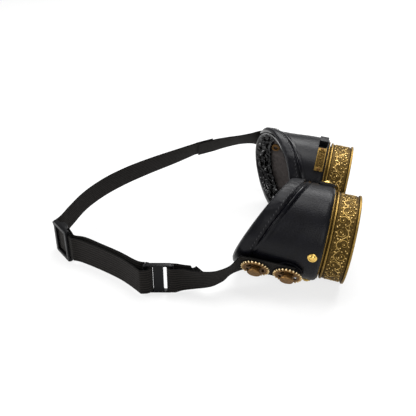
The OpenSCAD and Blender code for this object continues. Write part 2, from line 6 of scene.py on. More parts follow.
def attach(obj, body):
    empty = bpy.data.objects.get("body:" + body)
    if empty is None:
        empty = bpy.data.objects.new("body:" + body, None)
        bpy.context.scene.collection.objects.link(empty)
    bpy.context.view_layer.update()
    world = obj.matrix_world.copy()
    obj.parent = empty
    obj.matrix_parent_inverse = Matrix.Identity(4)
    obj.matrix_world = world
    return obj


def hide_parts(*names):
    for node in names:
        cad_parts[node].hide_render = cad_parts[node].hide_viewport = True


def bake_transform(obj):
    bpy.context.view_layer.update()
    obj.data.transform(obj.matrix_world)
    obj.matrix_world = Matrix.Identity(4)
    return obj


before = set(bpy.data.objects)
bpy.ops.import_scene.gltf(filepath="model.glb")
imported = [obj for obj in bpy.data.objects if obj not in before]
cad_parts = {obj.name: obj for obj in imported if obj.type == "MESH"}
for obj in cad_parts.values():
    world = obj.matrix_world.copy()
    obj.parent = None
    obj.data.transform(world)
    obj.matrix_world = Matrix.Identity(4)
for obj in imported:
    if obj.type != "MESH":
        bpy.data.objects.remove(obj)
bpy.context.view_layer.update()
mm = 0.001
twoPi = 2 * math.pi


# Where the two eye cups stand. In a cup's own frame X points to the temple, Y to the brow and
# Z out of the lens, with the origin in the middle of the bezel's front face.
pose = {
    "centreShift": (3.36, 4.85, 0.0),
    "rightSpot": (103.2, -33.8),
    "leftSpot": (94.0, 38.0),
    "flangeRadius": 31.1,
    "edgeCut": 0.4,
    "pitch": 6.25,
    "rightRoll": 27.0,
    "leftRoll": 13.0,
}
pitchAngle = math.radians(pose["pitch"])
eyeHeight = pose["flangeRadius"] * math.cos(pitchAngle) - pose["edgeCut"] * math.sin(pitchAngle)
shift = Vector(pose["centreShift"])
eyes = {
    "right": Vector((*pose["rightSpot"], eyeHeight)) + shift,
    "left": Vector((*pose["leftSpot"], eyeHeight)) + shift,
}


def turned(axis, degrees):
    return Matrix.Rotation(math.radians(degrees), 4, axis)


def cupMatrix(side):
    roll = pose["rightRoll"] - 90 if side == "right" else 90 + pose["leftRoll"]
    flip = Matrix.Diagonal((1, -1, 1, 1)) if side == "right" else Matrix.Identity(4)
    return Matrix.Translation(eyes[side]) @ turned("Y", 90 + pose["pitch"]) @ turned("Z", roll) @ flip


def radialMatrix(angle, radius, depth):
    # stands a piece on a radius of the cup, its own Z pointing outwards
    return turned("Z", angle) @ Matrix.Translation((radius, 0, -depth)) @ turned("Y", 90)


cups = {side: cupMatrix(side) for side in ("right", "left")}


# Small helpers for working in millimetres as by hand
def deselectAll():
    if bpy.context.object and bpy.context.object.mode != "OBJECT":
        bpy.ops.object.mode_set(mode="OBJECT")
    bpy.ops.object.select_all(action="DESELECT")


def makeActive(piece):
    deselectAll()
    piece.select_set(True)
    bpy.context.view_layer.objects.active = piece


def applyModifiers(piece):
    makeActive(piece)
    for modifier in list(piece.modifiers):
        bpy.ops.object.modifier_apply(modifier=modifier.name)
    return piece


def addModifier(piece, kind, **settings):
    modifier = piece.modifiers.new(kind.title(), kind)
    for key, value in settings.items():
        setattr(modifier, key, value)
    return modifier


def rounded(piece, width, degrees=30, steps=3):
    # bevels what is sharper than the given angle, after any modifiers that the piece has already
    addModifier(piece, "BEVEL", width=width, segments=steps, limit_method="ANGLE",
                angle_limit=math.radians(degrees))
    return applyModifiers(piece)


def joined(pieces, name):
    deselectAll()
    for piece in pieces:
        piece.select_set(True)
    bpy.context.view_layer.objects.active = pieces[0]
    if len(pieces) > 1:
        bpy.ops.object.join()
    pieces[0].name = name
    return pieces[0]


def copied(piece, matrix, name):
    twin = piece.copy()
    twin.data = piece.data.copy()
    twin.name = name
    bpy.context.collection.objects.link(twin)
    twin.data.transform(matrix)
    return twin


def applyPlace(piece):
    makeActive(piece)
    bpy.ops.object.transform_apply(location=True, rotation=True, scale=True)
    return piece


def smoothed(piece, degrees=35):
    makeActive(piece)
    bpy.ops.object.shade_smooth_by_angle(angle=math.radians(degrees))
    return piece


def moveTo(piece, matrix):
    # from the piece's own frame in millimetres to the shared frame in metres
    piece.data.transform(Matrix.Scale(mm, 4) @ matrix)
    if matrix.determinant() < 0:
        piece.data.flip_normals()
    piece.data.update()
    return piece


def finishPiece(piece, finish, body, slot, *nodes):
    piece.data.materials.clear()
    piece.data.materials.append(materials[finish])
    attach(piece, body)
    if nodes:
        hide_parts(*nodes)
    return piece


def fitToCup(piece, side, finish, slot, *nodes, body="goggles"):
    return finishPiece(moveTo(piece, cups[side]), finish, body, slot, *nodes)


def editPiece(piece, selectMode="EDGE", action="SELECT"):
    # without an action the selection stays as it is
    makeActive(piece)
    bpy.ops.object.mode_set(mode="EDIT")
    bpy.ops.mesh.select_mode(type=selectMode)
    if action:
        bpy.ops.mesh.select_all(action=action)


def leaveEdit():
    bpy.ops.object.mode_set(mode="OBJECT")


def recalculated(piece, merge=0.0002):
    editPiece(piece, "VERT")
    bpy.ops.mesh.remove_doubles(threshold=merge)
    bpy.ops.mesh.normals_make_consistent(inside=False)
    leaveEdit()
    return piece


def turnedPiece(name, profile, segments=128):
    # a circle, extruded and scaled from one point of the profile to the next, and closed at the end
    firstRadius, firstHeight = profile[0]
    deselectAll()
    bpy.ops.mesh.primitive_circle_add(vertices=segments, radius=firstRadius, location=(0, 0, firstHeight))
    piece = applyPlace(bpy.context.object)
    piece.name = name
    editPiece(piece)
    radius, height = firstRadius, firstHeight
    for nextRadius, nextHeight in profile[1:] + [profile[0]]:
        bpy.ops.mesh.extrude_region_move(TRANSFORM_OT_translate={"value": (0, 0, nextHeight - height)})
        scale = nextRadius / radius
        bpy.ops.transform.resize(value=(scale, scale, 1), center_override=(0, 0, 0))
        radius, height = nextRadius, nextHeight
    leaveEdit()
    return recalculated(piece, 0.0005)


def solidDisc(name, profile, segments=64):
    # like turnedPiece, but the profile starts and ends on the axis, where its poles are closed
    return recalculated(turnedPiece(name, profile, segments), 0.03)


def beadPiece(radius, segments, rings, place=(0, 0, 0), stretch=(1, 1, 1)):
    deselectAll()
    bpy.ops.mesh.primitive_uv_sphere_add(segments=segments, ring_count=rings, radius=radius, location=place)
    bpy.context.object.scale = stretch
    return applyPlace(bpy.context.object)


def boxPiece(name, size, centre, bevel=0.0):
    deselectAll()
    bpy.ops.mesh.primitive_cube_add(size=1, location=centre)
    piece = bpy.context.object
    piece.name = name
    piece.scale = size
    applyPlace(piece)
    return rounded(piece, bevel) if bevel else piece


def prism(name, outline, height):
    # a flat outline given as (x, y) corners, filled and extruded upwards from z = 0
    deselectAll()
    bpy.ops.mesh.primitive_circle_add(vertices=len(outline), radius=1, fill_type="NGON")
    piece = bpy.context.object
    piece.name = name
    for vertex, (x, y) in zip(piece.data.vertices, outline):
        vertex.co = (x, y, 0)
    editPiece(piece, "FACE")
    bpy.ops.mesh.extrude_region_move(TRANSFORM_OT_translate={"value": (0, 0, height)})
    bpy.ops.mesh.select_all(action="SELECT")
    bpy.ops.mesh.normals_make_consistent(inside=False)
    leaveEdit()
    return piece


def cut(piece, cutter, operation="DIFFERENCE"):
    addModifier(piece, "BOOLEAN", object=cutter, operation=operation, solver="EXACT")
    applyModifiers(piece)
    bpy.data.objects.remove(cutter)
    return piece


def storeValue(piece, name, reader):
    layer = piece.data.attributes.new(name, "FLOAT", "POINT")
    layer.data.foreach_set("value", [reader(v.co) for v in piece.data.vertices])


def clamp(value, low=0.0, high=1.0):
    return min(high, max(low, value))


def polar(radius, angle, z):
    return Vector((radius * math.cos(angle), radius * math.sin(angle), z))


def blob(distance, spread):
    return math.exp(-(distance / spread) ** 2)


# Materials
def linearColour(code, alpha=1.0):
    parts = [int(code[i:i + 2], 16) / 255 for i in (1, 3, 5)]
    return tuple([c / 12.92 if c <= 0.04045 else ((c + 0.055) / 1.055) ** 2.4 for c in parts] + [alpha])


def setInputs(material, node, inputs):
    # a socket is linked, and anything else is written on the node
    for key, value in inputs.items():
        if isinstance(value, bpy.types.NodeSocket):
            material.node_tree.links.new(value, node.inputs[key])
        else:
            node.inputs[key].default_value = value
    return node


def addNode(material, kind, inputs=None, stops=(), **settings):
    # stops are (place, hex colour or grey level), for a node that has a colour ramp
    node = material.node_tree.nodes.new(kind)
    for key, value in settings.items():
        setattr(node, key, value)
    if stops:
        elements = node.color_ramp.elements
        while len(elements) < len(stops):
            elements.new(0.5)
        for element, (place, colour) in zip(elements, stops):
            element.position = place
            element.color = linearColour(colour) if isinstance(colour, str) else (colour, colour, colour, 1)
    return setInputs(material, node, inputs or {})


def newMaterial(name, colour, roughness, metallic=0.0, **shader):
    material = bpy.data.materials.new(name)
    material.use_nodes = True
    surface = material.node_tree.nodes["Principled BSDF"]
    setInputs(material, surface, {"Base Color": linearColour(colour), "Roughness": roughness,
                                  "Metallic": metallic, **shader})
    return material, surface


def wavesPerMetre(pitch):
    # a wave texture of scale 1 has a band every 0.314 units; pitch is in millimetres
    return 0.314 / (pitch * mm)


def spotsPerMetre(size):
    # the scale of a noise or cell texture whose spots are about this many millimetres wide
    return 1 / (size * mm)


def blackLeather():
    # black coated leather, embossed with a fine grain and polished: broad soft highlights
    material, surface = newMaterial("blackCoatedLeather", "#08080c", 0.36, **{"Specular IOR Level": 0.15})
    place = addNode(material, "ShaderNodeTexCoord").outputs["Object"]
    # pores 0.9 mm apart, a little coarser than real so that they show
    pores = addNode(material, "ShaderNodeTexVoronoi", {"Vector": place, "Scale": spotsPerMetre(0.9)},
                    feature="SMOOTH_F1")
    folds = addNode(material, "ShaderNodeTexNoise", {"Vector": place, "Scale": spotsPerMetre(6.25),
                                                     "Detail": 5.0}).outputs["Fac"]
    height = addNode(material, "ShaderNodeMath", {0: pores.outputs["Distance"], 1: folds}, operation="ADD")
    bump = addNode(material, "ShaderNodeBump", {"Strength": 0.32, "Distance": 0.25 * mm,
                                                "Height": height.outputs[0]})
    wear = addNode(material, "ShaderNodeTexNoise", {"Vector": place, "Scale": spotsPerMetre(22.22),
                                                    "Detail": 3.0})
    gloss = addNode(material, "ShaderNodeAttribute", attribute_name="gloss").outputs["Fac"]
    spread = addNode(material, "ShaderNodeMapRange", {"Value": wear.outputs["Fac"], "From Min": 0.3,
                                                      "From Max": 0.7, "To Min": 0.3, "To Max": 0.46})
    rough = addNode(material, "ShaderNodeMath", {0: gloss, 1: -0.24, 2: spread.outputs["Result"]},
                    operation="MULTIPLY_ADD")
    shade = addNode(material, "ShaderNodeValToRGB", {"Fac": folds}, [(0.3, "#060609"), (0.75, "#0b0b11")])
    setInputs(material, surface, {"Base Color": shade.outputs["Color"], "Roughness": rough.outputs[0],
                                  "Normal": bump.outputs["Normal"]})
    return material


def unevenSurface(finish, size, detail, distortion, strength, height):
    # a plain finish with only soft creases or a moulded grain, of a size and height in millimetres
    material, surface = finish
    place = addNode(material, "ShaderNodeTexCoord").outputs["Object"]
    creases = addNode(material, "ShaderNodeTexNoise", {"Vector": place, "Scale": spotsPerMetre(size),
                                                       "Detail": detail, "Distortion": distortion})
    bump = addNode(material, "ShaderNodeBump", {"Strength": strength, "Distance": height * mm,
                                                "Height": creases.outputs["Fac"]})
    setInputs(material, surface, {"Normal": bump.outputs["Normal"]})
    return material


def elasticWebbing():
    # knitted elastic: black, matt, ribbed lengthwise, with a fine knit across the ribs
    material, surface = newMaterial("knittedElastic", "#0c0b0b", 0.85, **{
        "Specular IOR Level": 0.12, "Sheen Weight": 0.03, "Sheen Roughness": 0.5})
    pattern = addNode(material, "ShaderNodeUVMap").outputs["UV"]
    knit = addNode(material, "ShaderNodeTexWave", {"Vector": pattern, "Scale": wavesPerMetre(0.9),
                                                   "Distortion": 0.8, "Detail": 1.0}, bands_direction="X")
    bump = addNode(material, "ShaderNodeBump", {"Strength": 0.35, "Distance": 0.12 * mm,
                                                "Height": knit.outputs["Fac"]})
    height = addNode(material, "ShaderNodeAttribute", attribute_name="ribHeight").outputs["Fac"]
    # painted shade and highlight: the colour darkens in the grooves between the ribs and lightens on the rib
    # crests
    shade = addNode(material, "ShaderNodeValToRGB", {"Fac": height},
                    [(0.0, "#040303"), (0.4, "#100e0d"), (1.0, "#24211e")])
    setInputs(material, surface, {"Base Color": shade.outputs["Color"], "Normal": bump.outputs["Normal"]})
    return material


def antiqueBrass():
    # die-cast brass, darkened and rubbed back: dark in the recesses, warm and bright on the high places
    material, surface = newMaterial("antiqueCastBrass", "#9c8146", 0.4, 1.0)
    place = addNode(material, "ShaderNodeTexCoord").outputs["Object"]
    high = addNode(material, "ShaderNodeAttribute", attribute_name="rubbed").outputs["Fac"]
    blotch = addNode(material, "ShaderNodeTexNoise", {"Vector": place, "Scale": spotsPerMetre(1.3333),
                                                      "Detail": 5.0}).outputs["Fac"]
    spread = addNode(material, "ShaderNodeMapRange", {"Value": blotch, "From Min": 0.3, "From Max": 0.7,
                                                      "To Min": -0.1, "To Max": 0.1})
    mixed = addNode(material, "ShaderNodeMath", {0: high, 1: spread.outputs["Result"]},
                    operation="ADD").outputs[0]
    tone = addNode(material, "ShaderNodeValToRGB", {"Fac": mixed}, [
        (0.0, "#271e0d"), (0.35, "#5f4b26"), (0.62, "#866c37"), (1.0, "#c9aa6c")])
    rough = addNode(material, "ShaderNodeValToRGB", {"Fac": mixed}, [(0.0, 0.65), (0.5, 0.5), (1.0, 0.34)])
    bump = addNode(material, "ShaderNodeBump", {"Strength": 0.25, "Distance": 0.2 * mm, "Height": blotch})
    setInputs(material, surface, {"Base Color": tone.outputs["Color"], "Roughness": rough.outputs["Color"],
                                  "Normal": bump.outputs["Normal"]})
    return material


def gearBrass():
    # stamped brass sheet with a brown antique lacquer: satin and tan, with a painted highlight that makes the
    # teeth pale
    material, surface = newMaterial("lacqueredGearBrass", "#7d5e38", 0.46, 1.0)
    place = addNode(material, "ShaderNodeTexCoord").outputs["Object"]
    # on the gears this attribute carries the painted highlight of the teeth
    high = addNode(material, "ShaderNodeAttribute", attribute_name="rubbed").outputs["Fac"]
    cloud = addNode(material, "ShaderNodeTexNoise", {"Vector": place, "Scale": spotsPerMetre(2.381),
                                                     "Detail": 4.0})
    mixed = addNode(material, "ShaderNodeMath", {0: cloud.outputs["Fac"], 1: 0.3, 2: high},
                    operation="MULTIPLY_ADD")
    tone = addNode(material, "ShaderNodeValToRGB", {"Fac": mixed.outputs[0]}, [
        (0.1, "#48331a"), (0.5, "#7d5e38"), (0.75, "#a8875a"), (1.0, "#ecd3a2")])
    setInputs(material, surface, {"Base Color": tone.outputs["Color"]})
    return material


materials = {
    "leather": blackLeather(),
    # brushed lining cloth: black with a brown cast, matt, softly creased; its colour is painted much lighter
    # than the cloth, as painted light inside the shaded cup
    "lining": unevenSurface(newMaterial("brushedLiningCloth", "#615b59", 0.8, **{"Specular IOR Level": 0.2}),
                            7.692, 4.0, 0.8, 0.9, 1.0),
    # thin coated fabric in folds: black and shiny, so that the folds catch small bright lights
    "gather": unevenSurface(newMaterial("glossyCoatedFabric", "#060607", 0.17, **{"Specular IOR Level": 0.4}),
                            2.857, 3.0, 0.0, 0.15, 0.4),
    "webbing": elasticWebbing(),
    "cast": antiqueBrass(),
    "gear": gearBrass(),
    # brass-plated steel, polished bright: small fasteners
    "bright": newMaterial("polishedBrassPlate", "#d9b664", 0.22, 1.0)[0],
    # moulded acetal: dark grey, satin, faintly rough from the mould
    "plastic": unevenSurface(newMaterial("mouldedAcetal", "#060608", 0.36, **{
        "IOR": 1.48, "Specular IOR Level": 0.14}), 1.1111, 2.0, 0.0, 0.08, 0.1),
    # polycarbonate, tinted dark and moulded clear: smooth and see-through
    "lens": newMaterial("tintedPolycarbonate", "#3a3c40", 0.03,
                        **{"IOR": 1.58, "Transmission Weight": 0.92})[0],
    "rubber": newMaterial("mattNitrileRubber", "#101011", 0.7)[0],     # matt black ring
    "thread": newMaterial("waxedPolyesterThread", "#1b1b1f", 0.35)[0],  # black thread, painted a little paler than the leather as a highlight along the seam
}
print("materials ready")


# Bezel: a turned ring with a flange, a relief band of scrolls, and a rolled rear lip
bezelSettings = {
    "flange": 31.1,
    "flangeThickness": 1.8,
    "depth": 16.6,
    "band": 29.95,
    "groove": 29.5,
    "lip": 30.8,
    "channel": (26.7, 29.0),
    "channelDepth": 0.4,
    "opening": 25.4,
    "openingDepth": 2.3,
    "bore": 28.28,
    "motifs": 12,
    "wire": 0.45,
    "sink": 0.08,
    "segments": 256,
}


def bezelBody(settings):
    flange, thick, depth = settings["flange"], settings["flangeThickness"], settings["depth"]
    band, lip, groove, bore = settings["band"], settings["lip"], settings["groove"], settings["bore"]
    opening, openingDepth = settings["opening"], settings["openingDepth"]
    (channelIn, channelOut), sunk = settings["channel"], settings["channelDepth"]
    return turnedPiece("bezelBody", [
        (opening, -0.3), (opening + 0.3, 0.0), (channelIn - 0.3, 0.0), (channelIn, -sunk),
        (channelOut, -sunk), (channelOut + 0.3, 0.0), (flange - 0.45, 0.0), (flange - 0.12, -0.12),
        (flange, -0.45), (flange, -thick + 0.7), (flange - 0.15, -thick + 0.4), (flange - 0.5, -thick + 0.3),
        (groove, -thick + 0.2), (groove, -thick - 0.1), (band, -thick - 0.3), (band, -depth + 1.9),
        (groove, -depth + 1.75), (groove, -depth + 1.5), (lip - 0.25, -depth + 1.4), (lip, -depth + 1.15),
        (lip, -depth + 0.5), (lip - 0.15, -depth + 0.15), (lip - 0.4, -depth), (bore, -depth),
        (bore, -openingDepth), (opening, -openingDepth)], settings["segments"])


def wireAlong(name, points, thickness):
    # a rounded wire through flat points, given as (x, y) or (x, y, relative thickness)
    deselectAll()
    bpy.ops.curve.primitive_nurbs_path_add(location=(0, 0, 0))
    wire = bpy.context.object
    wire.name = name
    curve = wire.data
    curve.splines.clear()
    spline = curve.splines.new("POLY")
    spline.points.add(len(points) - 1)
    for target, source in zip(spline.points, points):
        target.co = (source[0], source[1], 0, 1)
        target.radius = source[2] if len(source) > 2 else 1
    curve.bevel_depth = thickness
    curve.bevel_resolution = 1
    curve.use_fill_caps = True
    curve.resolution_u = 1
    makeActive(wire)
    bpy.ops.object.convert(target="MESH")
    return bpy.context.object


def spiral(centre, start, turns, outer, inner, hand, steps, taper=0.55):
    # a scroll that winds inwards from its outer end, and thins as it goes
    points = []
    for i in range(steps + 1):
        t = i / steps
        angle = math.radians(start) + hand * t * turns * twoPi
        radius = outer + (inner - outer) * t ** 0.8
        points.append((centre[0] + radius * math.cos(angle), centre[1] + radius * math.sin(angle),
                       1 - (1 - taper) * t))
    return points


def leafShape(root, angle, length, width, steps=6):
    # an acanthus leaf as one stroke that swells and ends in a point
    points = []
    direction = (math.cos(math.radians(angle)), math.sin(math.radians(angle)))
    for i in range(steps + 1):
        t = i / steps
        curl = 0.35 * length * t * t
        points.append((root[0] + direction[0] * length * t - direction[1] * curl,
                       root[1] + direction[1] * length * t + direction[0] * curl,
                       0.35 + width * math.sin(math.pi * min(t * 1.15, 1.0))))
    return points


# places in shares of the motif's length and half width: (x, y, start angle, turns, size, end, hand, steps),
# then leaves as (x, y, angle, length) and buds as (x, y, radius)
scrolls = [(-0.22, -0.30, 75, 1.35, 0.58, 0.35, -1, 22), (0.26, 0.32, 255, 1.35, 0.58, 0.35, -1, 22),
           (-0.40, 0.62, 200, 0.9, 0.30, 0.25, 1, 14), (0.06, -0.66, 20, 0.9, 0.28, 0.25, 1, 14),
           (-0.16, 0.64, 300, 0.8, 0.26, 0.3, -1, 12), (0.33, -0.66, 120, 0.8, 0.26, 0.3, -1, 12)]
leaves = [(-0.05, 0.35, 60, 2.3), (0.0, 0.1, 115, 1.9), (0.43, -0.35, 250, 2.2), (0.36, -0.25, 300, 1.9),
          (-0.42, -0.55, 200, 1.7), (-0.25, 0.65, 20, 1.8), (0.2, -0.6, 200, 1.7), (0.42, 0.75, 20, 1.6),
          (-0.38, -0.1, 100, 1.8), (-0.46, 0.15, 40, 1.6), (0.1, 0.55, 100, 1.7), (0.14, 0.1, 330, 1.8),
          (-0.1, -0.55, 290, 1.7), (-0.3, -0.85, 10, 1.5), (0.27, 0.85, 190, 1.5), (0.47, 0.1, 80, 1.6)]
buds = [(-0.22, -0.30, 0.62), (0.26, 0.32, 0.62), (-0.02, 0.86, 0.45), (0.47, -0.86, 0.45),
        (-0.3, -0.88, 0.4), (0.18, 0.9, 0.4)]


def scrollMotif(wire, length, width):
    # two scrolls wound against each other, with leaves, buds and a wavy stem, flat in X and Y
    half = width / 2
    strokes = [[(-length / 2 + length * i / 24, 0.52 * half * math.sin(twoPi * i / 24), 1.05)
                for i in range(25)]]
    for x, y, start, turns, size, end, hand, steps in scrolls:
        strokes.append(spiral((x * length, y * half), start, turns, size * half, end, hand, steps))
    for x, y, angle, size in leaves:
        strokes.append(leafShape((x * length, y * half), angle, size, 1.25))
    pieces = [wireAlong("stroke", stroke, wire) for stroke in strokes]
    pieces += [beadPiece(size, 10, 6, (x * length, y * half, 0)) for x, y, size in buds]
    return joined(pieces, "scrollMotif")


def reliefBand(settings):
    # the motif is laid out flat, repeated, and rolled round the band
    radius = settings["band"]
    front, rear = settings["flangeThickness"] + 0.3, settings["depth"] - 1.9
    length = twoPi * radius / settings["motifs"]
    motif = scrollMotif(settings["wire"], length, rear - front - 0.5)
    middle = (front + rear) / 2
    rolled = []
    for i in range(settings["motifs"]):
        # every second one is mirrored, so that the stem waves on
        twin = copied(motif, Matrix.Diagonal((1, 1 if i % 2 else -1, 1, 1)), "motif")
        for vertex in twin.data.vertices:
            distance = radius - settings["sink"] + vertex.co.z * 0.9
            vertex.co = polar(distance, (vertex.co.x + i * length) / radius, vertex.co.y - middle)
        if i % 2:
            twin.data.flip_normals()
        rolled.append(twin)
    bpy.data.objects.remove(motif)
    return joined(rolled, "reliefBand")


def makeBezel(settings):
    bezel = joined([bezelBody(settings), reliefBand(settings)], "bezel")
    band, depth, thick = settings["band"], settings["depth"], settings["flangeThickness"]

    def rubbed(co):
        radius = math.hypot(co.x, co.y)
        if -depth + 1.8 < co.z < -thick - 0.2:
            return clamp(0.22 + 1.9 * (radius - band - 0.02))    # brighter the higher the relief
        if radius < band - 0.2 and co.z < -0.5:
            return 0.05    # grooves and bore
        if radius < settings["channel"][1] + 0.2 and co.z < -0.3:
            return 0.35    # the channel in the front face
        return 0.6
    storeValue(bezel, "rubbed", rubbed)
    return smoothed(bezel, 40)


bezelPiece = makeBezel(bezelSettings)
for side in ("right", "left"):
    fitToCup(copied(bezelPiece, Matrix.Identity(4), side + "Bezel"), side, "cast", "antique_brass",
             side + "_bezel", body=side + "_bezel_unit")
bpy.data.objects.remove(bezelPiece)
print("bezels ready")


# Lens, rubber ring and base ring, all turned on the cup's axis
ringSettings = {
    "lensRadius": 27.4,
    "lensFront": 2.5,
    "lensThickness": 2.0,
    "lensCrown": 0.18,
    "gasketThickness": 1.4,
    "gasketInner": 25.2,
    "neck": 28.2,
    "neckFront": 6.1,
    "bore": 26.5,
    "flange": 31.4,
    "flangeFront": 17.9,
    "flangeThickness": 1.3,
    "sleeve": 30.5,
    "sleeveWall": 2.1,
    "sleeveLength": 14.0,
    "threadPitch": 1.0,
    "threadDepth": 0.35,
}


def makeLens(settings):
    front, radius, dome = settings["lensFront"], settings["lensRadius"], settings["lensCrown"]
    rear = front + settings["lensThickness"]
    return smoothed(solidDisc("lens", [
        (0.01, -front), (radius * 0.4, -front - 0.03), (radius * 0.8, -front - dome * 0.64),
        (radius - 0.2, -front - dome), (radius, -front - dome - 0.3), (radius, -rear + 0.3),
        (radius - 0.2, -rear), (radius * 0.6, -rear), (0.01, -rear)], 96))


def makeGasket(settings):
    front = settings["lensFront"] + settings["lensThickness"]
    rear = front + settings["gasketThickness"]
    outer, inner = settings["lensRadius"], settings["gasketInner"]
    return smoothed(turnedPiece("gasket", [
        (inner, -front - 0.3), (inner + 0.3, -front), (outer - 0.3, -front), (outer, -front - 0.3),
        (outer, -rear + 0.3), (outer - 0.3, -rear), (inner + 0.3, -rear), (inner, -rear + 0.3)], 96))


def makeBaseRing(settings):
    front, neck, bore = settings["neckFront"], settings["neck"], settings["bore"]
    face, edge = settings["flangeFront"], settings["flange"]
    rear = face + settings["flangeThickness"]
    sleeve = settings["sleeve"]
    inner, end = sleeve - settings["sleeveWall"], rear + settings["sleeveLength"]
    profile = [(bore, -front), (neck - 0.3, -front), (neck, -front - 0.3)]
    # thread ridges on the neck, hidden while the bezel is screwed home
    depth = front + 0.8
    while depth < face - 1.6:
        profile += [(neck, -depth), (neck - settings["threadDepth"], -depth - settings["threadPitch"] / 2)]
        depth += settings["threadPitch"]
    # the leather comes forward over the flange, so that only a thin bright edge shows
    profile += [(neck, -face), (edge - 0.2, -face), (edge, -face - 0.15), (edge, -face - 0.45),
                (edge - 0.2, -face - 0.6), (sleeve - 0.4, -face - 0.6), (sleeve - 0.4, -end + 0.3),
                (sleeve - 0.7, -end), (inner, -end), (inner, -rear), (bore, -rear)]
    ring = turnedPiece("baseRing", profile, 160)
    storeValue(ring, "rubbed", lambda co: 0.6 if math.hypot(co.x, co.y) > neck + 0.5 else 0.3)
    return smoothed(ring, 30)


for side in ("right", "left"):
    for maker, finish, body, slotName, node in (
            (makeLens, "lens", side + "_lens_unit", "lens", "_lens"),
            (makeGasket, "rubber", side + "_lens_unit", "rubber", "_lens_gasket"),
            (makeBaseRing, "cast", "goggles", "antique_brass", "_base_ring")):
        piece = maker(ringSettings)
        piece.name = side + piece.name[0].upper() + piece.name[1:]
        fitToCup(piece, side, finish, slotName, side + node, body=body)
print("lenses and rings ready")


# Leather cup, its lining, and the binding that is folded over the slanted edge
cupSettings = {
    "radius": 33.4,
    "front": 18.75,
    "thickness": 2.2,
    "lining": 0.9,
    "liningFront": 33.3,
    "bindingThickness": 0.9,
    "edges": {"right": (61.5, 13.7, -4.3), "left": (56.8, 18.3, -1.4)},
    "bindingWidth": {"right": 8.5, "left": 6.5},
    "bindingInside": {"right": 10.0, "left": 12.5},
    "turnedLip": {"right": 0.6, "left": 0.2},
    "browCrease": {"right": 1.3, "left": 0.15},
    "pinch": {"right": 0.0, "left": 0.2},
    "around": 288,
    "along": 104,
    "liningAlong": 40,
    "stitch": 2.6,
    "stitchInset": 1.3,
    "stitchRise": 1.22,
}
# how far the radius steps in, at depths behind the bezel's front face
shapeStops = [(18.75, -1.2), (19.3, -0.7), (20.3, -0.25), (21.8, 0.0), (35.3, -0.3), (51.3, -1.1), (89.3, -2.0)]


def cupRadius(depth):
    base = cupSettings["radius"]
    if depth <= shapeStops[0][0]:
        return base + shapeStops[0][1]
    for (d0, r0), (d1, r1) in zip(shapeStops, shapeStops[1:]):
        if depth <= d1:
            return base + r0 + (r1 - r0) * (depth - d0) / (d1 - d0)
    return base + shapeStops[-1][1]


def edgeDepth(side, angle):
    middle, temple, brow = cupSettings["edges"][side]
    return middle + temple * math.cos(angle) + brow * math.sin(angle)


def fromTemple(angle):
    # how far round the cup from the middle of the tab, in radians
    return abs(math.atan2(math.sin(angle), math.cos(angle)))


def lyingFlat(angle, least):
    # nothing stands up under the tab, where the strap lies
    return clamp((fromTemple(angle) - 0.3) / 0.25, least)


def gridTube(name, around, along, placeOf):
    # an open tube from a grid primitive: columns run round it, rows along it
    deselectAll()
    bpy.ops.mesh.primitive_grid_add(x_subdivisions=around, y_subdivisions=along, size=2)
    tube = bpy.context.object
    tube.name = name
    for vertex in tube.data.vertices:
        u = (vertex.co.x + 1) / 2
        v = (vertex.co.y + 1) / 2
        vertex.co = placeOf(u * twoPi, v)
    editPiece(tube, "VERT")
    bpy.ops.mesh.remove_doubles(threshold=0.001)
    leaveEdit()
    return tube


def leatherRelief(side, angle, depth):
    # dents, the fold that runs along the binding, and slow waves of a hand-made tube
    before = edgeDepth(side, angle) - cupSettings["bindingWidth"][side] - depth
    wave = 0.16 * noise.noise(polar(1.6, angle, depth * 0.045))
    fine = 0.05 * noise.noise(polar(6, angle, depth * 0.2))
    # a crease and a turned lip in front of the binding, and a second crease across the brow
    fold = cupSettings["turnedLip"][side] * blob(before - 2.4, 0.8) - 0.5 * blob(before - 0.7, 0.5)
    brow = blob(math.degrees(abs(math.remainder(angle - math.radians(100), twoPi))), 40)
    fold -= cupSettings["browCrease"][side] * brow * blob(before - 4.4, 0.55)
    sag = -0.28 * blob(fromTemple(angle - math.radians(62)), 0.5) * blob(depth - 46, 9)
    return (min(0.0, wave + fine) + fold + sag) * clamp((depth - 20.5) / 5) * lyingFlat(angle, 0.15)


def makeLeather(side):
    settings = cupSettings
    front = settings["front"]

    def placeOf(angle, v):
        edge = edgeDepth(side, angle) - 0.05
        # rows lie closer at the front rim and near the binding
        depth = front + (edge - front) * (0.5 * v + 0.5 * (1 - math.cos(math.pi * v)) / 2)
        return polar(cupRadius(depth) + leatherRelief(side, angle, depth), angle, -depth)
    tube = gridTube(side + "CupLeather", settings["around"], settings["along"], placeOf)
    recalculated(tube, 0.001)
    addModifier(tube, "SOLIDIFY", thickness=settings["thickness"], offset=-1, use_even_offset=False)
    rounded(tube, 0.5, 55)

    def gloss(co):
        before = edgeDepth(side, math.atan2(co.y, co.x)) - settings["bindingWidth"][side] + co.z
        return blob(before - 2.4, 1.1)
    storeValue(tube, "gloss", gloss)
    return smoothed(tube, 50)


def makeLining(side):
    settings = cupSettings
    gap = settings["thickness"] + 0.05

    def placeOf(angle, v):
        edge = edgeDepth(side, angle) - 0.1
        depth = settings["liningFront"] + (edge - settings["liningFront"]) * v
        around = polar(9, angle, depth * 0.05)
        crease = 0.5 * abs(noise.noise(around)) + 0.25 * abs(noise.noise(around * 2.3))
        radius = cupRadius(depth) - gap - settings["lining"] - 0.12 + 0.1 * math.sin(angle * 3)
        return polar(radius - crease * clamp((v - 0.35) / 0.3), angle, -depth)
    tube = gridTube(side + "CupLining", settings["around"], settings["liningAlong"], placeOf)
    recalculated(tube, 0.001)
    addModifier(tube, "SOLIDIFY", thickness=settings["lining"] - 0.2, offset=1, use_even_offset=False)
    applyModifiers(tube)
    return smoothed(tube, 60)


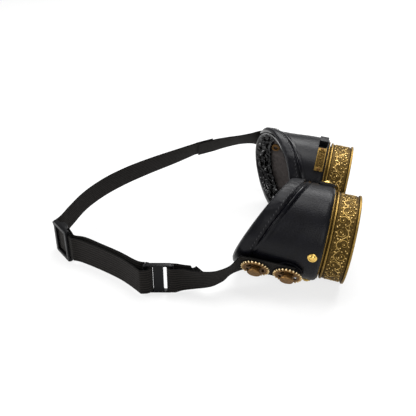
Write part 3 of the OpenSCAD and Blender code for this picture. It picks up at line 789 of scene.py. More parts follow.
def bindingSection(side):
    # half-round fold: outside strip, the turn over the edge, inside strip, as (radius step, depth step)
    thick, width = cupSettings["bindingThickness"], cupSettings["bindingWidth"][side]
    inner = -(cupSettings["thickness"] + cupSettings["lining"] + 0.15)
    out = 0.08
    section = [(out, -width + 0.15), (out + thick * 0.7, -width), (out + thick, -width + 0.5)]
    section += [(out + thick, -width * k / 6) for k in range(5, 0, -1)]
    middle, half = (out + inner) / 2, (out - inner) / 2 + thick
    for i in range(0, 9):
        turn = math.pi / 2 - math.pi * i / 8
        section.append((middle + half * math.sin(turn), 0.1 + (thick + 0.25) * math.cos(turn)))
    section += [(inner - thick, -width * k / 6) for k in range(1, 6)]
    section += [(inner - thick, -width + 0.3), (inner - thick * 0.7, -width), (inner, -width + 0.15)]
    return section


def gatheredSection(side):
    # the loose strip inside the fold, that is gathered where it meets the lining
    thick, reach = cupSettings["bindingThickness"], cupSettings["bindingInside"][side]
    inner = -(cupSettings["thickness"] + cupSettings["lining"] + 0.15) - thick
    middle = (inner + thick) / 2
    section = [(middle + 0.1, 0.9)]
    section += [(middle + (inner - middle - 0.2) * math.sin(math.radians(turn)),
                 0.1 + (thick + 0.4) * math.cos(math.radians(turn))) for turn in (-8, 20, 45, 70)]
    section += [(inner - 0.2, -reach * k / 22) for k in range(22)]
    return section + [(inner + 0.2, -reach), (inner + 0.7, -reach + 0.2)]


def makeBinding(side, section, name):
    rows = len(section) - 1
    width = cupSettings["bindingWidth"][side]

    def softPucker(angle, index):
        around = polar(14, angle, index * 0.35)
        pucker = 0.35 * noise.noise(around * 0.35) + 0.2 * noise.noise(around)
        return pucker + 0.1 * noise.noise(around * 2.7) - cupSettings["pinch"][side]

    def sharpFolds(angle, stepDown):
        around = polar(7, angle, stepDown * 0.22)
        bend = noise.noise(around * 0.7) * 1.2
        pucker = -2.8 * abs(noise.noise(around + Vector((bend, bend, 0))))
        pucker -= 0.5 * abs(noise.noise(around * 2.3))
        return pucker * clamp(0.2 - stepDown / 2.5, 0.05)

    def placeOf(angle, v):
        index = min(rows, int(round(v * rows)))
        stepOut, stepDown = section[index]
        depth = edgeDepth(side, angle) + stepDown
        pucker = 0.0
        if 0 < index < rows:
            pucker = sharpFolds(angle, stepDown) if name == "Gather" else softPucker(angle, index)
        # the strip lifts a little between its stitched front edge and the fold
        puff = 0.28 * math.sin(math.pi * clamp(-stepDown / width)) if stepOut > 0 else 0.0
        calm = 1.0 if name == "Gather" else lyingFlat(angle, 0.1)
        return polar(cupRadius(depth) + stepOut + puff + (pucker * calm if index else 0), angle, -depth)
    band = gridTube(side + name, cupSettings["around"], rows, placeOf)
    editPiece(band, "EDGE", "DESELECT")
    bpy.ops.mesh.select_non_manifold()
    bpy.ops.mesh.bridge_edge_loops()
    leaveEdit()
    return smoothed(recalculated(band, 0.001), 60)


def makeStitches(side):
    # thread lying in short slanted stitches along the binding's front edge
    settings = cupSettings
    count = int(twoPi * settings["radius"] / settings["stitch"])
    model = beadPiece(0.5, 8, 5, stretch=(0.5, 1.8, 0.5))
    stitches = []
    for i in range(count):
        angle = twoPi * (i + 0.5) / count
        if fromTemple(angle) < 0.36:
            continue    # hidden under the tab
        depth = edgeDepth(side, angle) - settings["bindingWidth"][side] + settings["stitchInset"]
        slope = math.degrees(math.atan((edgeDepth(side, angle + 0.01) - edgeDepth(side, angle - 0.01))
                                       / (0.02 * settings["radius"])))
        reach = cupRadius(depth) + settings["stitchRise"]
        stitches.append(copied(model, radialMatrix(math.degrees(angle), reach, depth) @ turned("Z", slope + 12),
                               "stitch"))
    bpy.data.objects.remove(model)
    return smoothed(joined(stitches, side + "Stitches"), 80)


for side in ("right", "left"):
    fitToCup(makeLeather(side), side, "leather", "leather", side + "_cup_leather")
    fitToCup(makeLining(side), side, "lining", "lining", side + "_cup_lining")
    fitToCup(makeBinding(side, bindingSection(side), "SealBinding"), side, "leather", "leather",
             side + "_seal_binding")
    fitToCup(makeBinding(side, gatheredSection(side), "Gather"), side, "gather", "lining")
    fitToCup(makeStitches(side), side, "thread", "leather")
print("leather cups ready")


# Rivets: a domed head with a rim and a cross pressed into it
rivetSettings = {
    "radius": 3.2,
    "height": 1.6,
    "depth": 24.6,
    "spread": 31.0,
    "seat": 33.45,
    "shank": 1.4,
    "inside": 27.05,
    "crossWidth": 0.5,
    "crossDepth": 0.22,
    "bridgeLift": 1.5,
}


def makeRivet(settings, raised):
    radius, height = settings["radius"], settings["height"]
    seat = settings["seat"] + raised
    head = solidDisc("rivetHead", [
        (0.01, 0), (radius - 0.15, 0), (radius, 0.15), (radius - 0.05, 0.45), (radius - 0.35, 0.72),
        (radius - 0.75, 0.78), (radius - 0.95, 0.7), (radius - 1.15, 0.95), (radius * 0.42, height - 0.12),
        (radius * 0.2, height - 0.02), (0.01, height)], 48)
    for angle in (20, 110):
        bar = boxPiece("crossCutter", (radius * 0.8, settings["crossWidth"], 2 * settings["crossDepth"]),
                       (0, 0, height))
        bar.data.transform(turned("Z", angle))
        cut(head, bar)
    head.data.transform(Matrix.Translation((0, 0, seat)))
    inside, shank = settings["inside"], settings["shank"]
    stem = solidDisc("rivetShank", [
        (0.01, inside), (shank + 0.8, inside), (shank + 1, inside + 0.25), (shank + 0.9, inside + 0.9),
        (shank, inside + 1), (shank, seat + 0.1), (0.01, seat + 0.1)], 24)
    return smoothed(joined([head, stem], "rivet"), 35)


spread, rivetDepth = rivetSettings["spread"], rivetSettings["depth"]
angles = [-spread, spread, 180 - spread, 180 + spread]
bridgeEnds = {"right": angles[2], "left": angles[3]}
for side in ("right", "left"):
    heads = []
    for angle in angles:
        if angle != bridgeEnds[side]:
            rivet = makeRivet(rivetSettings, 0)
            rivet.data.transform(radialMatrix(angle, 0, rivetDepth) @ turned("Z", angle * 2))
            heads.append(rivet)
    fitToCup(joined(heads, side + "CupRivets"), side, "bright", "bright_brass", side + "_cup_rivets")
ends = []
for side in ("right", "left"):
    rivet = makeRivet(rivetSettings, rivetSettings["bridgeLift"])
    rivet.data.transform(radialMatrix(bridgeEnds[side], 0, rivetDepth))
    ends.append(moveTo(rivet, cups[side]))
finishPiece(joined(ends, "bridgeRivets"), "bright", "goggles", "bright_brass", "bridge_rivets")
print("rivets ready")


# Temple: tab, gears, posts with buttons and washers
templeSettings = {
    "gearDepths": (37.7, 59.9),
    "tabSeat": 33.5,
    "tabThickness": 1.2,
    "tabWidth": 20.0,
    "tabStrip": 12.0,
    "tabRear": 66.0,
    "webThickness": 1.1,
    "layerGap": 0.1,
    "gearRadius": 10.0,
    "gearThickness": 1.6,
    "gearTurns": (5, 0),
    "rimInset": 1.9,
    "teeth": 24,
    "peg": 0.64,
    "pegLength": 2.8,
    "spokes": 5,
    "spokeMargin": 11,
    "clearance": 0.06,
    "gearGap": 0.55,
    "post": 2.4,
    "postEnd": 1.8,
    "button": 4.7,
    "buttonThickness": 1.4,
    "neckHeight": 1.7,
    "washer": 3.5,
    "washerEnd": 1.5,
}
templeSettings["webSeat"] = (templeSettings["tabSeat"] + templeSettings["tabThickness"]
                             + templeSettings["layerGap"])
templeSettings["gearSeat"] = (templeSettings["webSeat"] + templeSettings["webThickness"]
                              + templeSettings["layerGap"])
templeSettings["gearBack"] = templeSettings["gearSeat"] + templeSettings["gearGap"]
liningInside = cupRadius(templeSettings["gearDepths"][1]) - cupSettings["thickness"] - cupSettings["lining"]


def makeTab(settings):
    # rounded at the front gear, a strip behind it, its sides lying down on the cup, its front stitched
    half, seat, thick = settings["tabWidth"] / 2, settings["tabSeat"], settings["tabThickness"]
    front, rear = settings["gearDepths"][0], settings["tabRear"]
    deselectAll()
    bpy.ops.mesh.primitive_grid_add(x_subdivisions=48, y_subdivisions=32, size=2)
    tab = bpy.context.object
    tab.name = "templeTab"
    for vertex in tab.data.vertices:
        along = (vertex.co.x + 1) / 2
        x = front - half + (rear - front + half) * along ** 1.8
        reach = math.sqrt(max(0.04, half ** 2 - min(half, abs(x - front)) ** 2))
        if x > front:
            reach = max(reach, settings["tabStrip"] / 2)
        vertex.co = (x, reach * vertex.co.y, thick)
    addModifier(tab, "SOLIDIFY", thickness=thick, offset=-1)
    rounded(tab, 0.4, 50)
    model = beadPiece(0.5, 8, 5, stretch=(1.7, 0.42, 0.3))
    margin = half - 1.5
    threads = []
    for i in range(-1, 14):
        turn = math.pi * i / 12
        place = Matrix.Translation((front - margin * math.sin(turn), margin * math.cos(turn), thick + 0.03))
        threads.append(copied(model, place @ turned("Z", 15 * i), "thread"))
    bpy.data.objects.remove(model)
    tab = joined([tab] + threads, "templeTab")
    for vertex in tab.data.vertices:
        reach, angle = seat + vertex.co.z, vertex.co.y / seat
        vertex.co.y, vertex.co.z = reach * math.sin(angle), reach * math.cos(angle) - seat
    tab.data.transform(radialMatrix(0, seat, 0))
    return smoothed(recalculated(tab), 45)


def makeGear(settings):
    # stamped gear: peg teeth, a rim with a raised bead, five windows and a thick hub
    radius, thick, teeth = settings["gearRadius"], settings["gearThickness"], settings["teeth"]
    rim = radius - settings["rimInset"]
    bore = settings["post"] + settings["clearance"]
    gear = turnedPiece("gear", [
        (bore, 0.15), (bore + 0.15, 0), (rim - 0.2, 0), (rim, 0.2), (rim, thick - 0.25), (rim - 0.25, thick),
        (rim - 0.5, thick), (rim - 0.7, thick - 0.2), (radius - 3.6, thick - 0.2), (radius * 0.46, thick - 0.2),
        (radius * 0.42, thick), (bore + 0.15, thick), (bore, thick - 0.15)], 96)
    windowIn, windowOut = radius * 0.45, radius - 3.5
    slope = math.tan(math.radians(180 / settings["spokes"] - settings["spokeMargin"]))
    for i in range(settings["spokes"]):
        window = turnedPiece("windowCutter", [
            (windowIn, -1), (windowOut, -1), (windowOut, thick + 1), (windowIn, thick + 1)], 96)
        wedge = boxPiece("wedge", (radius, radius * 2, thick + 4), (radius / 2, 0, thick / 2))
        for vertex in wedge.data.vertices:
            if vertex.co.x < radius / 2:
                vertex.co.x, vertex.co.y = 0.6, math.copysign(0.05, vertex.co.y)
            else:
                vertex.co.y = math.copysign(radius * slope, vertex.co.y)
        cut(window, wedge, "INTERSECT")
        window.data.transform(turned("Z", (i + 0.5) * 360 / settings["spokes"]))
        cut(gear, window)
    deselectAll()
    bpy.ops.mesh.primitive_cylinder_add(vertices=14, radius=settings["peg"], depth=settings["pegLength"],
                                        rotation=(0, math.pi / 2, 0))
    peg = rounded(applyPlace(bpy.context.object), 0.4)
    reach = Matrix.Translation((radius - settings["pegLength"] / 2, 0, thick / 2 + 0.1))
    pegs = [copied(peg, turned("Z", i * 360 / teeth) @ reach, "peg") for i in range(teeth)]
    bpy.data.objects.remove(peg)
    gear = joined([gear] + pegs, "gear")
    # painted highlight: the teeth get a much lighter colour than the rest of the gear
    storeValue(gear, "rubbed", lambda co: 0.85 if math.hypot(co.x, co.y) > rim + 0.3 else 0.22)
    return smoothed(gear, 35)


def makePost(settings, depth):
    # hollow rivet through the tab and the cup, a collar under the gear and a wide flat button over it
    inside = liningInside - settings["postEnd"]
    post, seat = settings["post"], settings["gearSeat"]
    buttonSeat = settings["gearBack"] + settings["gearThickness"] + 0.15
    top = buttonSeat + settings["neckHeight"]
    wide, thick = settings["button"], settings["buttonThickness"]
    hole = post - 0.6
    piece = turnedPiece("post", [
        (hole, inside + 3), (hole, inside), (post - 0.2, inside), (post, inside + 0.2), (post, seat),
        (post + 1.2, seat), (post + 1.2, seat + 0.4), (post, seat + 0.4), (post, buttonSeat),
        (post + 0.9, buttonSeat), (post + 0.9, top), (wide - 0.3, top), (wide, top + 0.3),
        (wide, top + thick - 0.45), (wide - 0.12, top + thick - 0.15), (wide - 0.45, top + thick),
        (wide - 0.95, top + thick - 0.05), (wide - 1.15, top + thick - 0.22), (wide - 1.5, top + thick - 0.12),
        (wide * 0.4, top + thick - 0.02), (0.02, top + thick), (0.02, inside + 3)], 64)
    piece.data.transform(radialMatrix(0, 0, depth))
    storeValue(piece, "rubbed", lambda co: 0.35)
    return smoothed(piece, 35)


def makeWasher(settings, depth):
    inside = liningInside - settings["washerEnd"]
    bore, wide = settings["post"] + 0.05, settings["washer"]
    piece = turnedPiece("washer", [
        (bore, inside + 0.2), (bore + 0.2, inside), (wide - 0.35, inside), (wide, inside + 0.35),
        (wide, inside + 0.9), (wide - 0.1, inside + 1), (bore, inside + 1)], 48)
    piece.data.transform(radialMatrix(0, 0, depth))
    storeValue(piece, "rubbed", lambda co: 0.4)
    return smoothed(piece, 35)


gearPiece = makeGear(templeSettings)
for side in ("right", "left"):
    tab = fitToCup(makeTab(templeSettings), side, "leather", "leather", side + "_temple_tab")
    tab.name = side + "TempleTab"
    posts, washers = [], []
    for place, depth, turn in zip(("front", "rear"), templeSettings["gearDepths"], templeSettings["gearTurns"]):
        matrix = radialMatrix(0, templeSettings["gearBack"], depth) @ turned("Z", turn)
        fitToCup(copied(gearPiece, matrix, side + place.title() + "Gear"), side, "gear", "antique_brass",
                 side + "_gear_" + place, body=side + "_" + place + "_gear")
        posts.append(makePost(templeSettings, depth))
        washers.append(makeWasher(templeSettings, depth))
    fitToCup(joined(posts, side + "GearPosts"), side, "gear", "bright_brass", side + "_gear_posts")
    fitToCup(joined(washers, side + "PostWashers"), side, "gear", "bright_brass", side + "_post_washers")
bpy.data.objects.remove(gearPiece)
print("temples ready")


# Left brow: a framed relief plate with two pins, and the black folded clip beside it
browSettings = {
    "span": (93.0, 126.0),
    "depths": (19.9, 26.3),
    "seat": 33.9,
    "thickness": 1.2,
    "recess": 0.45,
    "frame": 0.7,
    "frameEnd": 3.0,
    "rail": 0.9,
    "scrollWire": 0.34,
    "bead": 0.55,
    "pin": 0.8,
    "pinInset": 2.4,
    "clipAngle": 80.0,
    "clipWidth": 7.0,
    "clipWall": 0.9,
    "clipHeight": 2.4,
    "clipSeat": 33.45,
}


def flatBar(name, size, bevel, x=0.0, y=0.0):
    # cut up finely, so that it can be rolled onto the cup
    bar = boxPiece(name, size, (0, 0, size[2] / 2), bevel)
    editPiece(bar)
    bpy.ops.mesh.subdivide(number_cuts=3)
    leaveEdit()
    bar.data.transform(Matrix.Translation((x, y, 0)))
    return bar


def rollOnto(piece, radius, middleAngle, middleDepth):
    for vertex in piece.data.vertices:
        angle = math.radians(middleAngle) + vertex.co.x / radius
        vertex.co = polar(radius + vertex.co.z, angle, vertex.co.y - middleDepth)
    piece.data.update()
    return recalculated(piece)


def makeBrowPlate(settings):
    seat, thick, rail = settings["seat"], settings["thickness"], settings["rail"]
    first, last = settings["span"]
    front, rear = settings["depths"]
    length, width = math.radians(last - first) * seat, rear - front
    sunk = thick - settings["recess"]
    sideBar, endBar = (length, settings["frame"], thick), (settings["frameEnd"], width, thick)
    sideAway, endAway = width / 2 - settings["frame"] / 2, length / 2 - settings["frameEnd"] / 2
    pieces = [flatBar("plateBase", (length, width, sunk), 0.15)]
    for size, x, y in ((sideBar, 0, sideAway), (sideBar, 0, -sideAway), (endBar, endAway, 0),
                       (endBar, -endAway, 0)):
        pieces.append(flatBar("plateFrame", size, 0.25, x, y))
    # the rail next to the bezel stands higher
    pieces.append(flatBar("plateRail", (length, rail, thick + rail), 0.3, 0, width / 2 - rail / 2))
    for hand in (1, -1):
        line = spiral((-hand * length * 0.17, 0), 90, 1.2, 1.9, 0.3, hand, 18)
        stroke = wireAlong("plateScroll", line, settings["scrollWire"])
        stroke.data.transform(Matrix.Translation((0, 0, sunk)))
        pieces.append(stroke)
    for x in (-length * 0.32, 0, length * 0.32):
        pieces.append(beadPiece(settings["bead"], 12, 8, (x, 0, sunk)))
    plate = joined(pieces, "browPlate")
    storeValue(plate, "rubbed", lambda co: clamp((co.z - 0.55) / 1.3, 0.05, 0.45))
    return smoothed(rollOnto(plate, seat, (first + last) / 2, (front + rear) / 2), 40)


def makeBrowPins(settings):
    first, last = settings["span"]
    foot, pin = settings["clipSeat"], settings["pin"]
    seat = settings["seat"] + settings["thickness"] + 0.05
    pins = []
    for angle in (first + settings["pinInset"], last - settings["pinInset"]):
        piece = solidDisc("browPin", [
            (0.01, foot), (pin, foot), (pin, seat), (pin + 0.6, seat), (pin + 0.55, seat + 0.35),
            (0.6, seat + 0.62), (0.01, seat + 0.7)], 24)
        piece.data.transform(radialMatrix(angle, 0, sum(settings["depths"]) / 2))
        pins.append(piece)
    return smoothed(joined(pins, "browPlatePins"), 40)


def makeClip(settings):
    front, rear = settings["depths"]
    width, wall, height = settings["clipWidth"], settings["clipWall"], settings["clipHeight"]
    centre = ((front + rear) / 2, 0, height / 2 + wall)
    clip = boxPiece("browClip", (rear - front, width, height + 2 * wall), centre)
    cut(clip, boxPiece("clipChannel", (rear - front + 2, width - 2 * wall, height), centre))
    rounded(clip, 0.22)
    clip.data.transform(turned("Z", settings["clipAngle"])
                        @ Matrix.Translation((settings["clipSeat"], 0, 0)) @ turned("Y", 90))
    return smoothed(clip, 35)


fitToCup(makeBrowPlate(browSettings), "left", "cast", "antique_brass", "brow_plate")
fitToCup(makeBrowPins(browSettings), "left", "gear", "bright_brass", "brow_plate_pins")
fitToCup(makeClip(browSettings), "left", "leather", "leather", "brow_clip")
print("brow pieces ready")


# Webbing and bridge strip: ribbons along routes, in millimetres before the shift to the centre
strapSettings = {
    "width": 20.0,
    "thickness": 1.1,
    "ribs": 10,
    "ribDepth": 0.2,
    "ringHeight": 23.5,
    "ringLength": 21.0,
    "ringThickness": 3.4,
    "ringBar": 2.6,
    "ringMiddleBar": 5.4,
    "ringCentre": (-21.7, -81.9),
    "ringAngle": 13.0,
    "sliderHeight": 26.5,
    "sliderLength": 20.0,
    "sliderCentre": (-102.0, -57.5),
    "sliderAngle": -40.0,
    "barGap": 0.3,
    "endBar": 3.2,
    "endBarThickness": 1.6,
    "middleBar": 3.6,
    "middleBarThickness": 1.5,
    "layerGap": 0.1,
}


def splinePoint(a, b, c, d, t):
    return 0.5 * (2 * b + t * (c - a) + t * t * (2 * a - 5 * b + 4 * c - d)
                  + t * t * t * (3 * b - a - 3 * c + d))


def smoothRoute(points, steps):
    # each point is (x, y, z, lean)
    points = [Vector(p) for p in points]
    last = len(points) - 1
    route = []
    for i in range(last):
        a, b, c, d = points[max(i - 1, 0)], points[i], points[i + 1], points[min(i + 2, last)]
        route += [splinePoint(a, b, c, d, k / steps) for k in range(steps)]
    return route + [points[last]]


def heading(route, i):
    return (route[min(i + 1, len(route) - 1)].to_3d() - route[max(i - 1, 0)].to_3d()).normalized()


def uprightWidths(route):
    widths = []
    for i, point in enumerate(route):
        run = heading(route, i)
        side = run.cross(Vector((0, 0, 1))).normalized()
        rise = side.cross(run)
        lean = math.radians(point[3])
        widths.append(math.cos(lean) * rise + math.sin(lean) * side)
    return widths


def roundTurn(centre, radius, start, end, z, steps):
    turns = [math.radians(start + (end - start) * k / steps) for k in range(steps + 1)]
    return [Vector((centre[0] + radius * math.cos(t), centre[1] + radius * math.sin(t), z, 0)) for t in turns]


def makeRibbon(name, route, widths, width, thickness, ribs, ribDepth, fray=False, curls=None):
    # a closed belt section with ribs on both faces, carried along the route
    across = ribs * 4 if ribs else 8
    ring = 2 * (across + 1)
    deselectAll()
    bpy.ops.mesh.primitive_grid_add(x_subdivisions=ring, y_subdivisions=len(route) - 1, size=2)
    ribbon = bpy.context.object
    ribbon.name = name
    lengths = [0.0]
    for a, b in zip(route, route[1:]):
        lengths.append(lengths[-1] + (b.to_3d() - a.to_3d()).length)
    rows = len(route) - 1
    places, heights = [], []
    for vertex in ribbon.data.vertices:
        column = int(round((vertex.co.x + 1) / 2 * ring))
        row = int(round((vertex.co.y + 1) / 2 * rows))
        k = column % ring
        top = k <= across
        step = (k if top else ring - 1 - k) / across
        edge = min(step, 1 - step)
        rib = ribDepth * (0.5 - 0.5 * math.cos(twoPi * ribs * step)) if ribs else 0
        half = thickness / 2 - (ribDepth - rib if ribs else 0)
        half *= 1 if edge > 0.001 else 0.55
        out = heading(route, row).cross(widths[row])
        offset = (step - 0.5) * width
        loose = 0.0
        if fray and row > rows - 2:
            loose = 0.5 * noise.noise(Vector((step * 30, row, 0)))
        curl = curls[row] if curls else 0
        sag = curl * (webMid - math.sqrt(webMid ** 2 - offset ** 2))
        place = route[row].to_3d() + widths[row] * offset + out * (sag + (half if top else -half))
        place += heading(route, row) * loose
        places.append((place, lengths[row], offset))
        heights.append(rib / ribDepth if ribs else 0.5)
    for vertex, (place, along, offset) in zip(ribbon.data.vertices, places):
        vertex.co = place + shift
    # the rib height also drives the webbing's painted shade in the grooves and painted highlight on the crests
    ribbon.data.attributes.new("ribHeight", "FLOAT", "POINT").data.foreach_set("value", heights)
    layer = ribbon.data.uv_layers.active or ribbon.data.uv_layers.new(name="UVMap")
    for loop in ribbon.data.loops:
        place, along, offset = places[loop.vertex_index]
        layer.data[loop.index].uv = (along * mm, offset * mm)
    editPiece(ribbon, "VERT")
    bpy.ops.mesh.remove_doubles(threshold=0.0005)
    bpy.ops.mesh.select_all(action="DESELECT")
    bpy.ops.mesh.select_mode(type="EDGE")
    bpy.ops.mesh.select_non_manifold()
    bpy.ops.mesh.edge_face_add()
    bpy.ops.mesh.select_all(action="SELECT")
    bpy.ops.mesh.normals_make_consistent(inside=False)
    leaveEdit()
    ribbon.data.transform(Matrix.Scale(mm, 4))
    return smoothed(ribbon, 50)


def cupPoint(side, radius, angle, depth):
    return cups[side] @ polar(radius, math.radians(angle), -depth) - shift


def flat(angle):
    return Vector((math.cos(math.radians(angle)), math.sin(math.radians(angle))))


s = strapSettings
webMid = templeSettings["webSeat"] + s["thickness"] / 2
webFront = templeSettings["gearDepths"][0] - 4
webBend = templeSettings["gearDepths"][1] + 2    # the webbing lies flat up to here
flatRows = (webFront, 38, 43, 48, 54, webBend - 2)
ringZ = s["ringHeight"] / 2 + 0.3
ringReach = s["ringLength"] / 2 - s["ringBar"] / 2
ringMiddle = Vector(s["ringCentre"])
rightBar = ringMiddle + ringReach * flat(s["ringAngle"])
leftBar = ringMiddle - ringReach * flat(s["ringAngle"])
acrossRing = flat(s["ringAngle"] + 90)
tightLoop = s["ringThickness"] / 2 + 1 + s["thickness"] / 2
wideLoop = s["ringThickness"] / 2 + 2.4 + s["thickness"] / 2


def onCup(side, depth, lean, lateral=0.0, lift=0.0):
    local = Vector((webMid + lift, lateral, -depth))
    return Vector((*(cups[side] @ local - shift), lean))


def rightRoute():
    outer, inner = rightBar - tightLoop * acrossRing, rightBar + tightLoop * acrossRing
    lean = -pose["rightRoll"]
    route = [onCup("right", depth, lean) for depth in flatRows]
    route += smoothRoute([
        onCup("right", webBend, lean), onCup("right", webBend + 3, lean, -0.4),
        onCup("right", webBend + 7, lean, -1.6), (27.8, -67.1, 18.9, -27), (23, -72.2, 16.7, -26),
        (18.8, -75.2, 15.2, -24), (14.8, -77.2, 14.3, -22), (9.6, -78.4, 13.5, -19),
        (2.1, -79.3, 12.7, -14), (-5, -80.2, 12.2, -6), (outer.x + 2, outer.y + 0.4, ringZ, 0)], 6)
    route += roundTurn(rightBar, tightLoop, s["ringAngle"] - 90, s["ringAngle"] - 270, ringZ, 16)
    route += smoothRoute([
        (inner.x + 3, inner.y + 0.4, ringZ, 0), (-5, -76.2, 12.2, 2), (0, -74.8, 12.5, 8),
        (2.8, -73.4, 13.4, 13), (5.2, -71.2, 15.6, 20)], 8)
    return route


seam = Vector((-22, 56.4, 41.4))
seamLean = -33.0
seamRun = Vector((-11, -6.5, -1.6)).normalized()
seamSide = seamRun.cross(Vector((0, 0, 1))).normalized()
seamWide = (math.cos(math.radians(seamLean)) * seamSide.cross(seamRun)
            + math.sin(math.radians(seamLean)) * seamSide)
seamOut = seamRun.cross(seamWide) * (s["thickness"] + s["layerGap"])
seamHalf = 6.0


def onSeam(along, over=False):
    return Vector((*(seam + along * seamRun + (seamOut if over else Vector())), seamLean))


def leftRoute():
    lean = -pose["leftRoll"]
    route = [onCup("left", depth, lean) for depth in flatRows]
    route += smoothRoute([
        onCup("left", webBend, lean), onCup("left", webBend + 4, lean),
        onCup("left", webBend + 8, lean - 4, 0, 0.1), (20.3, 73, 46.4, -26), (14, 72.4, 46.2, -38),
        (4, 69.6, 45, -42), (-6, 65.6, 43.6, -38), onSeam(-seamHalf - 2)], 6)
    return route + [onSeam(-seamHalf - 1), onSeam(-3), onSeam(0), onSeam(3), onSeam(seamHalf - 0.4),
                    onSeam(seamHalf)]


sliderRun, sliderIn = flat(s["sliderAngle"]), flat(s["sliderAngle"] + 90)
sliderZ = s["sliderHeight"] / 2 - 0.2
straight = s["sliderLength"] / 2 + 2.8
middleBarFace = s["thickness"] / 2 + s["barGap"] + s["thickness"] + s["barGap"]
barMid = middleBarFace + s["middleBarThickness"] / 2
barTurn = s["middleBarThickness"] / 2 + s["barGap"] + s["thickness"] / 2


def atSlider(along, inwards):
    place = Vector(s["sliderCentre"]) + along * sliderRun + inwards * sliderIn
    return Vector((place.x, place.y, sliderZ, 0))


def longRoute():
    route = [onSeam(a, True) for a in (-seamHalf, 0.4 - seamHalf, -3, 0, 3, seamHalf + 1)]
    route += smoothRoute([
        onSeam(seamHalf + 2, True), (-44, 42.5, 37.6, -27), (-62, 28.5, 34, -22), (-78, 14, 30.6, -18),
        (-91, -1, 27, -15), (-101, -17, 22.6, -12), (-107.4, -32, 17, -7), (-110, -42.5, 14.4, -3),
        atSlider(-straight - 1, 0.15)], 10)
    route += [atSlider(a, 0) for a in (-straight, -8, -4, 0, 4, 8, straight)]
    route += smoothRoute([
        atSlider(straight + 1, 0.2), (-84.5, -66.6, 12.6, 0), (-68.7, -71.2, 12.2, 0),
        (-52.5, -77.4, 12, 0), (-42, -83.2, ringZ, 0),
        (leftBar.x - 3 + wideLoop * math.sin(math.radians(s["ringAngle"])), leftBar.y - wideLoop - 0.8,
         ringZ, 0)], 8)
    return route + roundTurn(leftBar, wideLoop, s["ringAngle"] - 90, s["ringAngle"] + 90, ringZ, 20)


def returnRoute():
    start = leftBar + wideLoop * acrossRing - 0.35 * flat(s["ringAngle"])
    route = smoothRoute([
        (start.x, start.y, ringZ, 0), (start.x - 2.6, start.y - 0.35, ringZ, 0),
        (start.x - 5.6, start.y + 0.25, ringZ, 0), (start.x - 10, start.y + 2.1, 12, 0),
        (-52.5, -72.6, 12.2, 0), (-68.7, -66.8, 12.4, 0), (-82, -62.6, 12.8, 0), atSlider(12, 3.6),
        atSlider(7, 3.9), atSlider(1, barMid + barTurn)], 8)
    for k in range(0, 13):
        turn = math.radians(90 + 15 * k)
        route.append(atSlider(-s["middleBar"] / 2 + barTurn * math.cos(turn),
                              barMid + barTurn * math.sin(turn)))
    return route + [atSlider(along, barMid - barTurn) for along in (3, 7, 11)]


def makeStrap(name, route, fray=False, curls=None):
    return makeRibbon(name, route, uprightWidths(route), s["width"], s["thickness"], s["ribs"], s["ribDepth"],
                      fray, curls)


def cupCurls(route, hand):
    # the webbing bends a little round the cup, and flattens over the next few rows
    return [hand * 0.25 * clamp(1 - (i - 8) / 10) for i in range(len(route))]


for side, route, fray, hand in (("right", rightRoute(), True, 1), ("left", leftRoute(), False, -1)):
    finishPiece(makeStrap(side + "Elastic", route, fray, cupCurls(route, hand)), "webbing", "goggles",
                "webbing", side + "_elastic")
finishPiece(makeStrap("longElastic", longRoute()), "webbing", "goggles", "webbing", "long_elastic")
turnedBack = makeStrap("longElasticReturn", returnRoute())
turnedBack.data.materials.append(materials["webbing"])
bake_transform(turnedBack)
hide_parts("long_elastic_return")
print("elastics ready")


# Bridge strip between the cups
bridgeSettings = {
    "width": 11.0,
    "thickness": 1.4,
    "tail": 9.0,
    "steps": 26,
}


def bridgeRoute():
    radius = cupSettings["radius"] + s["layerGap"] + bridgeSettings["thickness"] / 2
    step = eyes["right"] - eyes["left"]
    freeAngle = math.degrees(math.acos(2 * radius / abs(step.y)))
    leave = 180 + pose["rightRoll"] - freeAngle
    meet = 180 - pose["leftRoll"] + freeAngle
    arc = math.radians(1) * radius
    freeLength = abs(step.y) * math.sin(math.radians(freeAngle))
    length = arc * (leave - bridgeEnds["right"]) + freeLength + arc * (bridgeEnds["left"] - meet)
    slant = math.hypot(step.x, step.z) / length
    tail, steps, depth = bridgeSettings["tail"], bridgeSettings["steps"], rivetSettings["depth"]
    route = []
    for k in range(steps + 1):
        angle = bridgeEnds["right"] - tail + (leave - bridgeEnds["right"] + tail) * k / steps
        lower = slant * arc * (angle - bridgeEnds["right"])
        route.append(cupPoint("right", radius, angle, depth + lower))
    for k in range(steps + 1):
        angle = meet + (bridgeEnds["left"] + tail - meet) * k / steps
        higher = slant * arc * (bridgeEnds["left"] - angle)
        route.append(cupPoint("left", radius, angle, depth - higher))
    return [Vector((*p, 0)) for p in route]


route = bridgeRoute()
axis = cups["right"].to_3x3() @ Vector((0, 0, 1))
widths = []
for i in range(len(route)):
    run = heading(route, i)
    widths.append((axis - axis.dot(run) * run).normalized())
bridge = makeRibbon("bridgeStrip", route, widths, bridgeSettings["width"], bridgeSettings["thickness"], 0, 0)
finishPiece(bridge, "leather", "goggles", "leather", "bridge_strip")
print("bridge ready")


# Slider and ring, moulded with rounded edges
def placedFlat(piece, centre, angle, z):
    piece.data.transform(Matrix.Scale(mm, 4) @ Matrix.Translation((centre[0] + shift.x, centre[1] + shift.y, z))
                         @ turned("Z", angle))
    return piece


def roundedFrame(name, length, height, thickness, corner):
    # a plate with rounded corners, standing upright, its face along Y
    frameBox = boxPiece(name, (length, thickness, height), (0, 0, 0))
    editPiece(frameBox, "EDGE", "DESELECT")
    leaveEdit()
    for edge in frameBox.data.edges:
        a, b = (frameBox.data.vertices[i].co for i in edge.vertices)
        edge.select = abs(a.y - b.y) > thickness / 2
    editPiece(frameBox, "EDGE", None)
    bpy.ops.mesh.bevel(offset=corner, segments=6, affect="EDGES")
    leaveEdit()
    return frameBox


